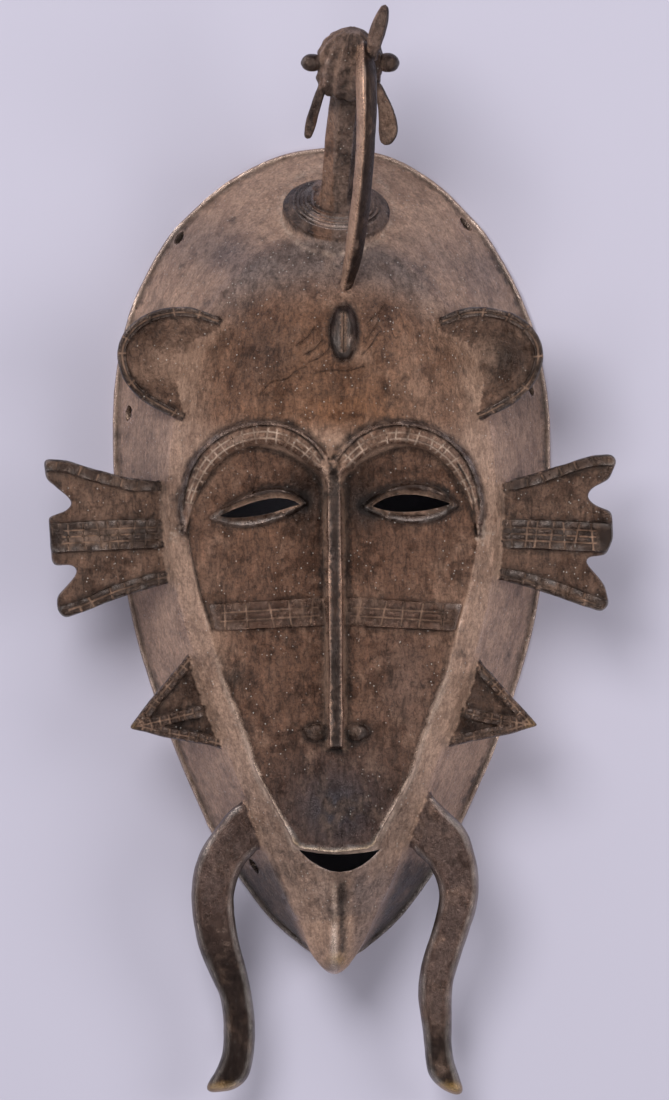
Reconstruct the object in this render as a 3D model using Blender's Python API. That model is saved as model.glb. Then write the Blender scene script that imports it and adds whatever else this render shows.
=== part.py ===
"""A face mask cast in one piece of bronze, with a bird's head on top.

The mask lies on the flat back of its rim. The rim plane is z = 0, the face
looks up along +Z and the top of the head points along +Y. The body is a thin
bowl: an outer form, joined with the ears, fins, spikes, legs and the bird,
from which the inside, the eye slits, the mouth and the tie holes are cut.
"""
import math

import bmesh
import bpy
import numpy as np
from mathutils import Matrix, Vector, geometry

# Real sizes, in millimetres
RIM_LENGTH = 262.5
FOREHEAD_HEIGHT = 62.0
WALL = 3.0
LIP_WIDTH = 1.4
LIP_HEIGHT = 2.6
BROW_RISE = 2.0
BROW_TICK_PITCH = 3.3
BROW_TICK_DEPTH = 0.7
LID_RISE = 1.8
NOSE_RISE = 8.5
NOSE_TOP_WIDTH = 4.0
NOSE_FOOT_WIDTH = 7.4
CHEEK_BAND_RISE = 0.9
MOUTH_LIP_RISE = 0.8
NOSTRIL_RISE = 2.4
BOSS_RISE = 3.0
BOSS_SLIT_DEPTH = 1.1
EAR_THICKNESS = 3.2
EAR_BAND_WIDTH = 3.4
EAR_BAND_RISE = 1.2
EAR_BOWL_DEPTH = 5.0
FIN_THICKNESS = 2.8
FIN_BAND_RISE = 1.2
SPIKE_THICKNESS = 5.0
SPIKE_BAND_RISE = 1.4
LEG_THICKNESS = 5.0
LEG_EDGE_ROUND = 2.2
CHIN_THICKNESS = 12.0
KEEL_RISE = 1.8
TIE_HOLE_DIAMETER = 5.0
NECK_DIAMETER = 12.0
COLLAR_DIAMETER = 34.8
COLLAR_STEPS = 5
COLLAR_STEP_RISE = 0.75
HEAD_WIDTH = 21.0
EYE_KNOB_DIAMETER = 6.0
BEAK_WIDTH = 6.2
BEAK_DEPTH = 7.0
HORN_WIDTH = 5.0
HORN_DEPTH = 4.0
WATTLE_WIDTH = 3.2
WATTLE_DEPTH = 3.0

METRE = 0.001

BRONZE = (0.105, 0.072, 0.052)
BRONZE_ROUGHNESS = 0.48
BRONZE_METALLIC = 0.75

# The outlines below are drawn to one scale, and the sizes above set that scale.
# Rim: half-width of the mask at each height of the drawing, bottom to top
RIM_HALF = [(-134.0, 0.0), (-131.5, 6.0), (-128.0, 11.5), (-119.0, 21.5), (-106.0, 31.0),
            (-90.0, 40.5), (-62.0, 52.6), (-29.5, 63.4), (3.0, 68.9), (35.0, 70.4),
            (57.0, 68.6), (76.0, 63.6), (97.0, 53.0), (112.0, 39.5), (121.5, 26.0),
            (126.5, 14.0), (128.5, 0.0)]
SCALE = RIM_LENGTH / (RIM_HALF[-1][0] - RIM_HALF[0][0])

# Edge of the raised face block, where the flank begins
BLOCK_HALF = [(-133.0, 0.0), (-128.0, 7.0), (-119.0, 12.5), (-106.0, 19.0), (-95.0, 23.0),
              (-80.0, 29.0), (-64.0, 35.0), (-35.0, 45.0), (-10.0, 51.0), (20.0, 52.6),
              (45.0, 49.5), (72.0, 40.5), (90.0, 26.0), (97.5, 11.0), (99.0, 0.0)]

# Face panel below the brows, measured from the middle line
PANEL_HALF = [(-98.3, 0.0), (-96.6, 11.8), (-92.0, 14.5), (-74.4, 24.2), (-62.7, 28.0),
              (-53.5, 31.3), (-41.8, 35.8), (-25.8, 39.5), (-14.0, 43.0), (3.0, 46.4),
              (12.0, 44.6), (20.0, 41.4), (26.0, 37.0), (30.0, 31.5), (32.0, 25.0),
              (31.0, 18.0), (27.5, 10.5), (23.0, 5.0), (17.0, 1.6), (16.0, 0.0)]

# The middle line of the face leans a little to the right of the rim's axis
LEAN = [(-134.0, 1.5), (-60.0, 1.3), (35.0, 0.4), (97.0, -0.8), (128.5, 1.0)]

# Heights above the rim plane along the face: block edge, forehead and face, panel
EDGE_HEIGHT = [(-134.0, 29.0), (-113.0, 35.0), (-90.0, 40.0), (-60.0, 43.5), (0.0, 45.0),
               (45.0, 45.5), (75.0, 44.5), (99.0, 43.5)]
CROWN_HEIGHT = [(-134.0, 33.0), (-113.0, 42.0), (-90.0, 49.5), (-60.0, 55.0), (0.0, 60.5),
                (45.0, 62.0), (75.0, 60.5), (99.0, 58.0)]
DEPTH = FOREHEAD_HEIGHT / max(height for _, height in CROWN_HEIGHT)
BLOCK_RUN = [(-134.0, 9.0), (-100.0, 14.0), (-60.0, 22.0), (0.0, 28.0), (45.0, 31.0), (99.0, 40.0)]
PANEL_HEIGHT = [(-98.0, 49.5), (-60.0, 51.2), (-20.0, 52.6), (15.0, 53.6), (32.0, 56.5)]
NOSE_SHARE = [(-66.0, 1.0), (-30.0, 1.0), (10.0, 0.95), (28.0, 0.78)]

# Hollows beside the root of the nose: place, reach and depth
SOCKET = (8.5, 14.0)
SOCKET_REACH = (7.0, 11.0)
SOCKET_DEPTH = 3.2

# The inside follows the outside: its shifts at the rim, the block's edge and the lip, in walls
INSIDE_RIM = 1.05
INSIDE_BLOCK = 0.62
INSIDE_LIP = 0.4
CUT_FLOOR = -20.0
CUT_TOP = 120.0

# Nose, bands and brows lie this far to the right of the leaning middle line
NOSE_SHIFT = 0.6
BROW_SHIFT = 0.4

# Middle line of one brow, from the nose outward, and its half-width along it
BROW_PATH = [(2.6, 25.5), (6.5, 30.2), (12.0, 34.2), (18.5, 36.3), (25.0, 36.2), (32.0, 34.2),
             (38.5, 29.6), (43.5, 22.5), (46.8, 13.0), (47.3, 4.0)]
BROW_HALF_WIDTH = [(0.0, 3.3), (0.2, 3.9), (0.6, 3.9), (0.85, 2.6), (1.0, 0.9)]

# Each eye: inner corner, outer corner, crest of the lid above, lowest point below
EYE_LIDS = {-1: ((-6.6, 13.7), (-38.6, 9.2), (-20.0, 18.6), (-24.5, 6.4)),
            1: ((9.6, 12.6), (41.2, 13.2), (26.5, 20.4), (27.0, 7.4))}
EYE_SLITS = {-1: ((-9.6, 13.4), (-35.4, 9.7), (-19.5, 15.4), (-24.5, 9.6)),
             1: ((13.2, 12.8), (38.4, 13.6), (24.0, 16.6), (25.0, 11.0))}

CHEEK_BAND = [(3.6, -16.2), (40.5, -18.6), (38.2, -27.0), (3.2, -25.4)]
NOSE_TOP = 29.0
NOSE_TIP = -64.4
NOSTRIL = (6.6, -59.6)
NOSTRIL_HALF = (4.4, 3.2)
MOUTH = ((-10.2, -97.2), (16.2, -97.0), (2.8, -98.7), (3.2, -104.4))
BOSS = (4.3, 68.5)
BOSS_HALF = (4.7, 9.2)
TIE_HOLES = [(-64.9, 42.8), (-48.6, 99.2), (43.6, 103.6), (64.4, 50.8), (-24.6, -102.8)]

CHIN = [(-13.0, -106.0), (-12.4, -113.0), (-9.8, -121.0), (-7.4, -128.4), (-4.6, -133.2), (1.2, -137.4),
        (6.8, -133.6), (10.6, -128.0), (14.0, -121.0), (16.6, -113.0), (17.6, -106.0)]
CHIN_HALF = [(-137.4, 1.0), (-133.4, 5.6), (-128.0, 9.2), (-113.0, 15.4), (-104.0, 17.4)]
CHIN_HEIGHT = [(-137.4, 34.4), (-128.0, 37.6), (-113.0, 41.4), (-104.0, 44.4)]
CHIN_FALL = 6.4
KEEL_X = 1.2

# Heights of the limbs: at a distance from the middle line, and the fall for each mm past it
EAR_PLANE = (47.5, 50.0, 0.16)
FIN_PLANE = (40.0, 52.0, 0.06)
SPIKE_TIP_HEIGHT = 36.5
SPIKE_SLOPE = 0.12
LEG_HEIGHT = [(-176.0, 17.0), (-140.0, 24.0), (-105.0, 33.0), (-76.0, 40.0)]
SOFT_STEP = 0.6

EAR = [(34.0, 73.2), (45.0, 76.6), (55.5, 75.6), (63.5, 71.4), (68.2, 63.8), (67.0, 55.0),
       (61.5, 47.6), (51.0, 41.4), (45.0, 39.0)]

FINS = {-1: [(-48.0, 21.0), (-63.7, 21.6), (-75.9, 24.6), (-84.3, 27.5), (-91.7, 27.9), (-91.2, 21.6),
             (-84.3, 15.9), (-82.6, 13.8), (-84.5, 11.6), (-90.7, 9.6), (-89.0, -6.2), (-82.6, -5.9),
             (-80.9, -7.8), (-82.4, -10.2), (-87.8, -16.2), (-87.6, -20.6), (-85.2, -23.2),
             (-78.0, -20.8), (-67.8, -16.4), (-55.4, -12.6), (-45.0, -11.0)],
        1: [(49.0, 19.0), (65.8, 23.4), (78.0, 27.6), (84.1, 29.2), (90.3, 29.6), (91.9, 27.6),
            (89.6, 21.5), (83.6, 18.4), (82.2, 16.0), (84.5, 13.4), (90.2, 11.0), (90.8, 2.2),
            (88.6, -2.8), (82.4, -3.4), (81.7, -5.2), (88.0, -12.0), (89.8, -18.6),
            (87.2, -21.2), (80.0, -18.6), (71.9, -15.6), (61.6, -12.4), (46.0, -9.4)]}

SPIKES = {-1: [(-64.4, -58.3), (-57.5, -48.9), (-51.1, -41.2), (-44.6, -33.0), (-38.0, -34.0),
               (-29.0, -63.0), (-34.2, -65.2), (-43.1, -62.9), (-53.5, -61.1)],
          1: [(66.8, -57.5), (57.6, -47.4), (52.0, -41.2), (46.0, -34.2), (39.0, -35.0),
              (32.0, -63.0), (37.6, -64.4), (49.6, -61.6), (57.6, -60.3)]}

LEGS = {-1: [(-28.4, -81.4), (-37.3, -91.2), (-42.4, -100.0), (-44.6, -111.0), (-43.0, -125.3),
             (-39.2, -136.0), (-35.2, -146.0), (-34.2, -156.0), (-35.4, -165.6), (-39.8, -174.3),
             (-33.7, -175.0), (-28.0, -172.4), (-25.0, -166.0), (-24.2, -153.0), (-26.4, -138.0),
             (-29.4, -126.5), (-30.9, -115.0), (-29.4, -105.4), (-25.4, -99.4), (-19.0, -94.0),
             (-22.0, -84.0)],
        1: [(29.6, -76.0), (36.2, -83.6), (43.2, -91.0), (47.3, -103.6), (46.9, -115.3),
            (43.6, -126.5), (39.6, -140.0), (39.0, -152.7), (39.3, -163.2), (42.6, -175.1),
            (36.8, -174.8), (31.4, -169.0), (30.0, -157.0), (28.4, -144.3), (29.5, -133.0),
            (33.4, -120.6), (34.8, -110.5), (31.6, -102.6), (26.0, -97.4), (22.0, -93.0),
            (24.0, -84.0)]}

# Bird: foot of the neck on the crown, direction of the neck and length to the head's middle
NECK_FOOT = (2.0, 108.0)
NECK_LEAN = (0.075, 0.826, 0.556)
NECK_LENGTH = 57.0
HEAD_HALF_LENGTH = 11.0
HEAD_HALF_DEPTH = 8.8
HEAD_FLUTE = 0.06

# Sections along the head and an eye knob: place and width, as shares of their half-sizes
HEAD_RINGS = [(-1.05, 0.5), (-0.95, 0.86), (-0.5, 0.98), (0.05, 1.0), (0.5, 0.88), (0.85, 0.58),
              (1.08, 0.24)]
KNOB_RINGS = [(-0.97, 0.25), (-0.7, 0.72), (0.0, 1.0), (0.7, 0.72), (0.97, 0.25)]

# The horn's and the wattles' points, measured from the head's middle
HORN_PATH = [(6.9, -0.2, 9.6), (8.1, 6.8, 13.6), (10.1, 13.3, 15.2), (11.3, 17.8, 14.6)]
WATTLES = {-1: [(-7.9, -5.2, 0.6), (-10.5, -13.2, -2.9), (-12.5, -19.6, -6.4), (-13.7, -24.6, -9.8)],
           1: [(8.1, -6.2, 0.6), (11.1, -14.2, -2.9), (12.3, -21.2, -6.4), (11.1, -26.8, -9.8)]}

# The beak runs from its root, measured from the head's middle, to its tip, sunk in the forehead.
# Its arch: share of the way, then how far it stands to the right of and above the straight line
BEAK_ROOT = (4.7, 4.8, 8.6)
BEAK_TIP = (4.8, 82.5)
BEAK_TIP_SUNK = 1.2
BEAK_ARCH = [(0.0, 0.0, 0.0), (0.12, 1.1, 7.4), (0.29, 2.3, 11.5), (0.48, 2.9, 11.9), (0.67, 2.6, 9.6),
             (0.84, 1.8, 5.8), (0.93, 0.9, 3.0), (1.0, 0.0, 0.0)]


def real(size):
    """A real size in the drawing's own scale."""
    return size / SCALE


def curve_value(knots, at):
    """Smooth curve through (place, value) knots, without overshoot between them."""
    place = np.array([knot[0] for knot in knots])
    value = np.array([knot[1] for knot in knots])
    step = np.diff(place)
    slope = np.diff(value) / step
    tangent = np.concatenate(([slope[0]], np.zeros(len(slope) - 1), [slope[-1]]))
    same_way = slope[:-1] * slope[1:] > 0
    mean = 2.0 * slope[:-1] * slope[1:] / np.where(same_way, slope[:-1] + slope[1:], 1.0)
    tangent[1:-1] = np.where(same_way, mean, 0.0)
    at = np.clip(np.asarray(at, dtype=float), place[0], place[-1])
    i = np.clip(np.searchsorted(place, at, side="right") - 1, 0, len(step) - 1)
    t = (at - place[i]) / step[i]
    rise = (1 + 2 * t) * (1 - t) ** 2 * value[i] + t * t * (3 - 2 * t) * value[i + 1]
    return rise + step[i] * (t * (1 - t) ** 2 * tangent[i] - t * t * (1 - t) * tangent[i + 1])


def ramp(value, low, high):
    """0 below low, 1 above high, and a smooth step between."""
    t = np.clip((value - low) / (high - low), 0.0, 1.0)
    return t * t * (3 - 2 * t)


def lean(y):
    """Where the middle line of the face lies at a height of the drawing."""
    return curve_value(LEAN, y)


def spline(points, pieces, closed):
    """Points of a Catmull-Rom curve, with this many pieces between two of its points."""
    points = np.array(points, dtype=float)
    count = len(points)
    if closed:
        before, after, after2 = (np.roll(points, k, axis=0) for k in (1, -1, -2))
    else:
        padded = np.vstack((2 * points[0] - points[1], points, 2 * points[-1] - points[-2]))
        before, points, after, after2 = padded[:-3], padded[1:-2], padded[2:-1], padded[3:]
        count -= 1
    out = []
    for t in np.arange(pieces) / pieces:
        out.append(0.5 * (2 * points[:count] + (after[:count] - before[:count]) * t
                          + (2 * before[:count] - 5 * points[:count] + 4 * after[:count]
                             - after2[:count]) * t ** 2
                          + (3 * points[:count] - before[:count] - 3 * after[:count]
                             + after2[:count]) * t ** 3))
    line = np.stack(out, axis=1).reshape(-1, len(before[0]))
    return line if closed else np.vstack((line, after[count - 1]))


def evenly(line, spacing, closed):
    """The same line with its points about spacing apart."""
    if closed:
        line = np.vstack((line, line[0]))
    along = np.concatenate(([0.0], np.cumsum(np.linalg.norm(np.diff(line, axis=0), axis=1))))
    count = max(3, int(round(along[-1] / spacing)))
    marks = np.linspace(0.0, along[-1], count + 1)
    even = np.stack([np.interp(marks, along, line[:, k]) for k in range(line.shape[1])], axis=1)
    return even[:-1] if closed else even


def counter_clockwise(ring):
    """The same outline, turned so that its inside lies to the left."""
    following = np.roll(ring, -1, axis=0)
    area = np.sum(ring[:, 0] * following[:, 1] - following[:, 0] * ring[:, 1])
    return ring if area > 0 else ring[::-1]


def mirrored_outline(half, spacing):
    """Closed outline, counter-clockwise, from half-widths along a leaning middle line."""
    right = spline([(knot[1], knot[0]) for knot in half], 8, closed=False)
    left = right[::-1][1:-1] * (-1, 1)
    ring = np.vstack((right, left))
    ring[:, 0] += lean(ring[:, 1])
    return evenly(ring, spacing, closed=True)


def nearest(x, y, line, closed):
    """Distance to a line, and how far along it, from 0 to 1, the nearest point lies."""
    ends = np.roll(line, -1, axis=0) if closed else line[1:]
    starts = line if closed else line[:-1]
    lengths = np.linalg.norm(ends - starts, axis=1)
    before = np.concatenate(([0.0], np.cumsum(lengths)))
    best = np.full(x.shape, np.inf)
    place = np.zeros(x.shape)
    for start, end, length, base in zip(starts, ends, lengths, before):
        run = end - start
        t = np.clip(((x - start[0]) * run[0] + (y - start[1]) * run[1]) / max(length, 1e-9) ** 2, 0, 1)
        away = np.hypot(x - start[0] - t * run[0], y - start[1] - t * run[1])
        closer = away < best
        best = np.where(closer, away, best)
        place = np.where(closer, (base + t * length) / before[-1], place)
    return best, place


def depth_inside(x, y, ring):
    """Distance to a closed outline, positive inside it."""
    inside = np.zeros(x.shape, dtype=bool)
    for start, end in zip(ring, np.roll(ring, -1, axis=0)):
        crosses = (start[1] > y) != (end[1] > y)
        rise = end[1] - start[1] if end[1] != start[1] else 1.0
        inside ^= crosses & (x < start[0] + (y - start[1]) * (end[0] - start[0]) / rise)
    distance, _ = nearest(x, y, ring, closed=True)
    return np.where(inside, distance, -distance)


def arc(corner, crest, other):
    """Points of a curve that leaves a corner, passes a crest and ends at the other corner."""
    middle = 2 * np.array(crest) - (np.array(corner) + np.array(other)) / 2
    t = np.linspace(0, 1, 9)[:, None]
    return (1 - t) ** 2 * np.array(corner) + 2 * t * (1 - t) * middle + t * t * np.array(other)


def almond(shape):
    """Closed outline from two corners, the crest above and the lowest point below."""
    first, second, above, below = shape
    return counter_clockwise(np.vstack((arc(first, above, second)[:-1], arc(second, below, first)[:-1])))


RIM = mirrored_outline(RIM_HALF, 4.6)
BLOCK = mirrored_outline(BLOCK_HALF, 6.0)
PANEL = mirrored_outline(PANEL_HALF, 4.0)


def bowl_height(x, y, wall):
    """The smooth bowl: rim lip, flank, face block. A wall above 0 gives its inside."""
    rim = depth_inside(x, y, RIM) - real(LIP_WIDTH) - INSIDE_RIM * wall
    block = depth_inside(x, y, BLOCK) - INSIDE_BLOCK * wall
    lip = real(LIP_HEIGHT) - INSIDE_LIP * wall
    edge = curve_value(EDGE_HEIGHT, y) * DEPTH - wall
    crown = curve_value(CROWN_HEIGHT, y) * DEPTH - wall
    run = curve_value(BLOCK_RUN, y)
    share = np.clip(rim, 0, None) / np.maximum(np.clip(rim, 0, None) + np.clip(-block, 0, None), 1e-6)
    flank = lip + (edge - lip) * share ** 0.86
    dome = edge + (crown - edge) * (1 - (1 - np.clip(block / run, 0, 1)) ** 1.9)
    return np.where(block > 0, dome, flank)


def panel_height(x, y):
    """The face below the brows: nearly flat, and hollowed beside the root of the nose."""
    side = x - lean(y)
    level = curve_value(PANEL_HEIGHT, y) * DEPTH - 0.0011 * side ** 2
    across = (np.abs(side) - SOCKET[0]) / SOCKET_REACH[0]
    along = (y - SOCKET[1]) / SOCKET_REACH[1]
    return level - SOCKET_DEPTH * DEPTH * np.exp(-across ** 2 - along ** 2)


def face_height(x, y, wall=0.0):
    """Bowl with the face panel let into it. A wall above 0 gives its inside."""
    bowl = bowl_height(x, y, wall)
    panel = panel_height(x, y) - wall
    soft = np.where(y > 4.0, 2.6, 0.7)
    inside = ramp(depth_inside(x, y, PANEL), -soft, 0.35 * soft)
    if wall > 0:
        panel = np.minimum(panel, bowl)
        inside = ramp(depth_inside(x, y, PANEL), -wall, 0.5)
    return bowl + (panel - bowl) * inside


def brow_line(side):
    return spline(BROW_PATH, 6, closed=False) * (side, 1) + (BROW_SHIFT, 0)


def brow_relief(x, y):
    """Raised brows, notched across by a row of ticks."""
    rise = np.zeros(x.shape)
    for side in (-1, 1):
        line = brow_line(side)
        away, place = nearest(x, y, line, closed=False)
        half = curve_value(BROW_HALF_WIDTH, place)
        length = np.sum(np.linalg.norm(np.diff(line, axis=0), axis=1))
        tick = 0.5 + 0.5 * np.cos(2 * math.pi * place * length / real(BROW_TICK_PITCH))
        top = real(BROW_RISE) - real(BROW_TICK_DEPTH) * tick * ramp(half, 1.2, 3.0)
        rise = np.maximum(rise, top * (1 - ramp(away, half - 0.7, half + 0.3)))
    return rise


def lid_relief(x, y):
    """Raised almond around each eye."""
    rise = np.zeros(x.shape)
    for lids in EYE_LIDS.values():
        depth = depth_inside(x, y, almond(lids))
        rise = np.maximum(rise, real(LID_RISE) * ramp(depth, -1.0, 0.9))
    return rise


def carved_height(x, y):
    """The whole outer face, with brows, lids, nose, cheek bands, mouth lip and forehead boss."""
    side = np.abs(x - lean(y) - NOSE_SHIFT)
    height = face_height(x, y) + brow_relief(x, y) + lid_relief(x, y)
    band = depth_inside(side, y, np.array(CHEEK_BAND))
    height = height + real(CHEEK_BAND_RISE) * ramp(band, -0.5, 0.2)
    panel = depth_inside(x, y, PANEL)
    lip = ramp(panel, -0.3, 0.5) * (1 - ramp(panel, 1.6, 3.0)) * (1 - ramp(y, -95.5, -91.5))
    height = height + real(MOUTH_LIP_RISE) * lip
    flare = np.hypot((side - NOSTRIL[0]) / NOSTRIL_HALF[0], (y - NOSTRIL[1]) / NOSTRIL_HALF[1])
    height = height + real(NOSTRIL_RISE) * np.sqrt(np.clip(1 - flare ** 2, 0, 1))
    ridge = curve_value(PANEL_HEIGHT, y) * DEPTH + real(NOSE_RISE) * curve_value(NOSE_SHARE, y)
    across = ramp(side, real(NOSE_TOP_WIDTH) / 2, real(NOSE_FOOT_WIDTH) / 2)
    ends = ramp(y, NOSE_TIP - 0.8, NOSE_TIP + 0.2) * (1 - ramp(y, NOSE_TOP - 2, NOSE_TOP + 2))
    height = np.maximum(height, height + (ridge - height) * (1 - across) * ends)
    bump = np.hypot((x - BOSS[0]) / BOSS_HALF[0], (y - BOSS[1]) / BOSS_HALF[1])
    slit = np.exp(-((x - BOSS[0]) / 0.7) ** 2) * (1 - ramp(np.abs(y - BOSS[1]), 5.0, 6.5))
    boss = (real(BOSS_RISE) - real(BOSS_SLIT_DEPTH) * slit) * np.sqrt(np.clip(1 - bump ** 2, 0, 1))
    return height + boss + keel_rise(x, y)


def keel_rise(x, y):
    """Ridge down the middle of the chin."""
    return real(KEEL_RISE) * np.exp(-((x - KEEL_X) / 2.4) ** 2) * ramp(-y, 106.5, 112.0)


def ring_around(centre, half, count):
    """Points on an ellipse around a centre."""
    angle = np.linspace(0, 2 * math.pi, count, endpoint=False)
    return np.stack((centre[0] + half[0] * np.cos(angle), centre[1] + half[1] * np.sin(angle)), axis=1)


def lattice(ring, spacing, margin):
    """Points of a triangular lattice inside an outline, a margin away from it."""
    low, high = ring.min(axis=0), ring.max(axis=0)
    rows = np.arange(low[1] + spacing / 2, high[1], spacing * 0.866)
    points = []
    for k, y in enumerate(rows):
        x = np.arange(low[0] + (k % 2) * spacing / 2, high[0], spacing)
        points.append(np.stack((x, np.full(x.shape, y)), axis=1))
    points = np.vstack(points)
    return points[depth_inside(points[:, 0], points[:, 1], ring) > margin]


def triangles_inside(points, edges, ring):
    """Triangles over the points, along the edges, without those outside the outline."""
    result = geometry.delaunay_2d_cdt(points, edges, [], 0, 1e-4, False)
    places = np.array([tuple(point) for point in result[0]])
    faces = np.array([tuple(face) for face in result[2]])
    middle = places[faces].mean(axis=1)
    inside = depth_inside(middle[:, 0], middle[:, 1], ring) > 0
    return places, [tuple(int(i) for i in face) for face in faces[inside]]


def plan_mesh(ring, lines, spacing):
    """Triangles that fill an outline and keep its lines, where they lie inside it, as edges."""
    points = [Vector(p) for p in ring]
    edges = [(i, (i + 1) % len(ring)) for i in range(len(ring))]
    kept = [ring]
    for line, closed in lines:
        clear = depth_inside(line[:, 0], line[:, 1], ring) > 0.6
        names = np.cumsum(clear) - 1 + len(points)
        following = np.roll(np.arange(len(line)), -1)
        last = len(line) if closed else len(line) - 1
        edges += [(int(names[i]), int(names[following[i]])) for i in range(last)
                  if clear[i] and clear[following[i]]]
        points += [Vector(p) for p in line[clear]]
        kept.append(line[clear])
    if spacing:
        taken = np.vstack(kept)
        for p in lattice(ring, spacing, spacing * 0.45):
            if np.min(np.hypot(taken[:, 0] - p[0], taken[:, 1] - p[1])) > spacing * 0.5:
                points.append(Vector(p))
    return triangles_inside(points, edges, ring)


def slab(name, ring, top, bottom, lines=(), spacing=0.0, follow=False):
    """Closed body over an outline, between a top and a bottom surface.

    The underside has few triangles, or with follow the same ones as the top.
    """
    points, faces = plan_mesh(ring, lines, spacing)
    x, y = points[:, 0], points[:, 1]
    corners = {}
    for face in faces:
        for a, b in zip(face, face[1:] + face[:1]):
            corners[(a, b)] = True
    border = {a: b for a, b in corners if (b, a) not in corners}
    loop = [next(iter(border))]
    while border[loop[-1]] != loop[0]:
        loop.append(border[loop[-1]])
    mesh = bmesh.new()
    upper = [mesh.verts.new((px, py, pz)) for px, py, pz in zip(x, y, top(x, y))]
    under = list(range(len(x))) if follow else loop
    lower = {i: mesh.verts.new((x[i], y[i], z)) for i, z in zip(under, bottom(x[under], y[under]))}
    for face in faces:
        mesh.faces.new([upper[i] for i in face])
    for a, b in zip(loop, loop[1:] + loop[:1]):
        mesh.faces.new((upper[b], upper[a], lower[a], lower[b]))
    base = faces
    if not follow:
        edges = [(i, (i + 1) % len(loop)) for i in range(len(loop))]
        _, base = triangles_inside([Vector((x[i], y[i])) for i in loop], edges, ring)
    for face in base:
        mesh.faces.new([lower[under[i]] for i in reversed(face)])
    return as_object(name, mesh)


def as_object(name, mesh):
    """Blender object from a mesh drawn in millimetres."""
    bmesh.ops.transform(mesh, matrix=Matrix.Scale(SCALE * METRE, 4), verts=mesh.verts)
    bmesh.ops.triangulate(mesh, faces=mesh.faces)
    bmesh.ops.recalc_face_normals(mesh, faces=mesh.faces)
    data = bpy.data.meshes.new(name)
    mesh.to_mesh(data)
    mesh.free()
    body = bpy.data.objects.new(name, data)
    bpy.context.scene.collection.objects.link(body)
    return body


def tube(name, path, widths, depths, sides, up=(0.0, 0.0, 1.0), flute=0.0):
    """Closed bar along a path. Its section is wide across, deep along up, and may be fluted."""
    path = [Vector(p) for p in path]
    mesh = bmesh.new()
    rings = []
    for i, point in enumerate(path):
        ahead = (path[min(i + 1, len(path) - 1)] - path[max(i - 1, 0)]).normalized()
        across = ahead.cross(Vector(up)).normalized()
        over = across.cross(ahead)
        ring = []
        for k in range(sides):
            angle = 2 * math.pi * (k + 0.5) / sides
            offset = across * math.cos(angle) * widths[i] / 2 + over * math.sin(angle) * depths[i] / 2
            ring.append(mesh.verts.new(point + offset * (1 - flute * (k % 2))))
        rings.append(ring)
    for first, second in zip(rings, rings[1:]):
        for k in range(sides):
            mesh.faces.new((first[k], first[(k + 1) % sides], second[(k + 1) % sides], second[k]))
    mesh.faces.new(list(reversed(rings[0])))
    mesh.faces.new(rings[-1])
    return as_object(name, mesh)


def turned(name, foot, axis, profile, sides):
    """Body of revolution from (radius, height) points, standing on a foot along an axis."""
    turn = Vector((0, 0, 1)).rotation_difference(Vector(axis)).to_matrix()
    mesh = bmesh.new()
    rings = []
    for radius, height in profile:
        angles = [2 * math.pi * k / sides for k in range(sides)]
        rings.append([mesh.verts.new(Vector(foot) + turn @ Vector(
            (radius * math.cos(a), radius * math.sin(a), height))) for a in angles])
    for first, second in zip(rings, rings[1:]):
        for k in range(sides):
            mesh.faces.new((first[k], first[(k + 1) % sides], second[(k + 1) % sides], second[k]))
    mesh.faces.new(list(reversed(rings[0])))
    mesh.faces.new(rings[-1])
    return as_object(name, mesh)


def outer_body():
    """The bowl as a full body down to the rim plane, with all its carving on top."""
    lines = [(evenly(BLOCK, 6.0, True), True), (depth_line(RIM, real(LIP_WIDTH), 4.6), True)]
    lines += [(depth_line(PANEL, depth, 4.4), True) for depth in (-0.8, 0.3)]
    for side in (-1, 1):
        lines += brow_lines(brow_line(side))
        band = np.array(CHEEK_BAND) * (side, 1)
        band[:, 0] += lean(band[:, 1]) + NOSE_SHIFT
        band = counter_clockwise(corners_kept(band, 7.0))
        lids = almond(EYE_LIDS[side])
        lines += [(depth_line(band, -0.5), True), (depth_line(band, 0.3), True)]
        lines += [(depth_line(lids, -0.9, 3.6), True), (depth_line(lids, 0.8, 3.6), True)]
        flare = (lean(NOSTRIL[1]) + NOSE_SHIFT + side * NOSTRIL[0], NOSTRIL[1])
        lines.append((ring_around(flare, (NOSTRIL_HALF[0] * 0.97, NOSTRIL_HALF[1] * 0.97), 8), True))
    for width, low, high in ((NOSE_TOP_WIDTH, 0.3, -2.0), (NOSE_FOOT_WIDTH, -0.9, 2.0)):
        half = real(width) / 2
        nose = np.array([(-half, NOSE_TIP + low), (half, NOSE_TIP + low), (half, NOSE_TOP + high),
                         (-half, NOSE_TOP + high)])
        nose = corners_kept(nose, 9.0)
        nose[:, 0] += lean(nose[:, 1]) + NOSE_SHIFT
        lines.append((nose, True))
    for share, count in ((0.98, 14), (0.6, 10)):
        lines.append((ring_around(BOSS, (BOSS_HALF[0] * share, BOSS_HALF[1] * share), count), True))
    lines.append((np.array([(BOSS[0], BOSS[1] + step) for step in (-4.6, 0.0, 4.6)]), False))
    lines.append((np.array([(KEEL_X, y) for y in (-108.0, -112.0, -118.0, -124.0)]), False))

    def top(x, y):
        rim = depth_inside(x, y, RIM)
        return np.where(rim < real(LIP_WIDTH) * 0.7, real(LIP_HEIGHT), carved_height(x, y))

    return slab("mask", RIM, top, lambda x, y: np.zeros(x.shape), lines, 6.8)


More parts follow.
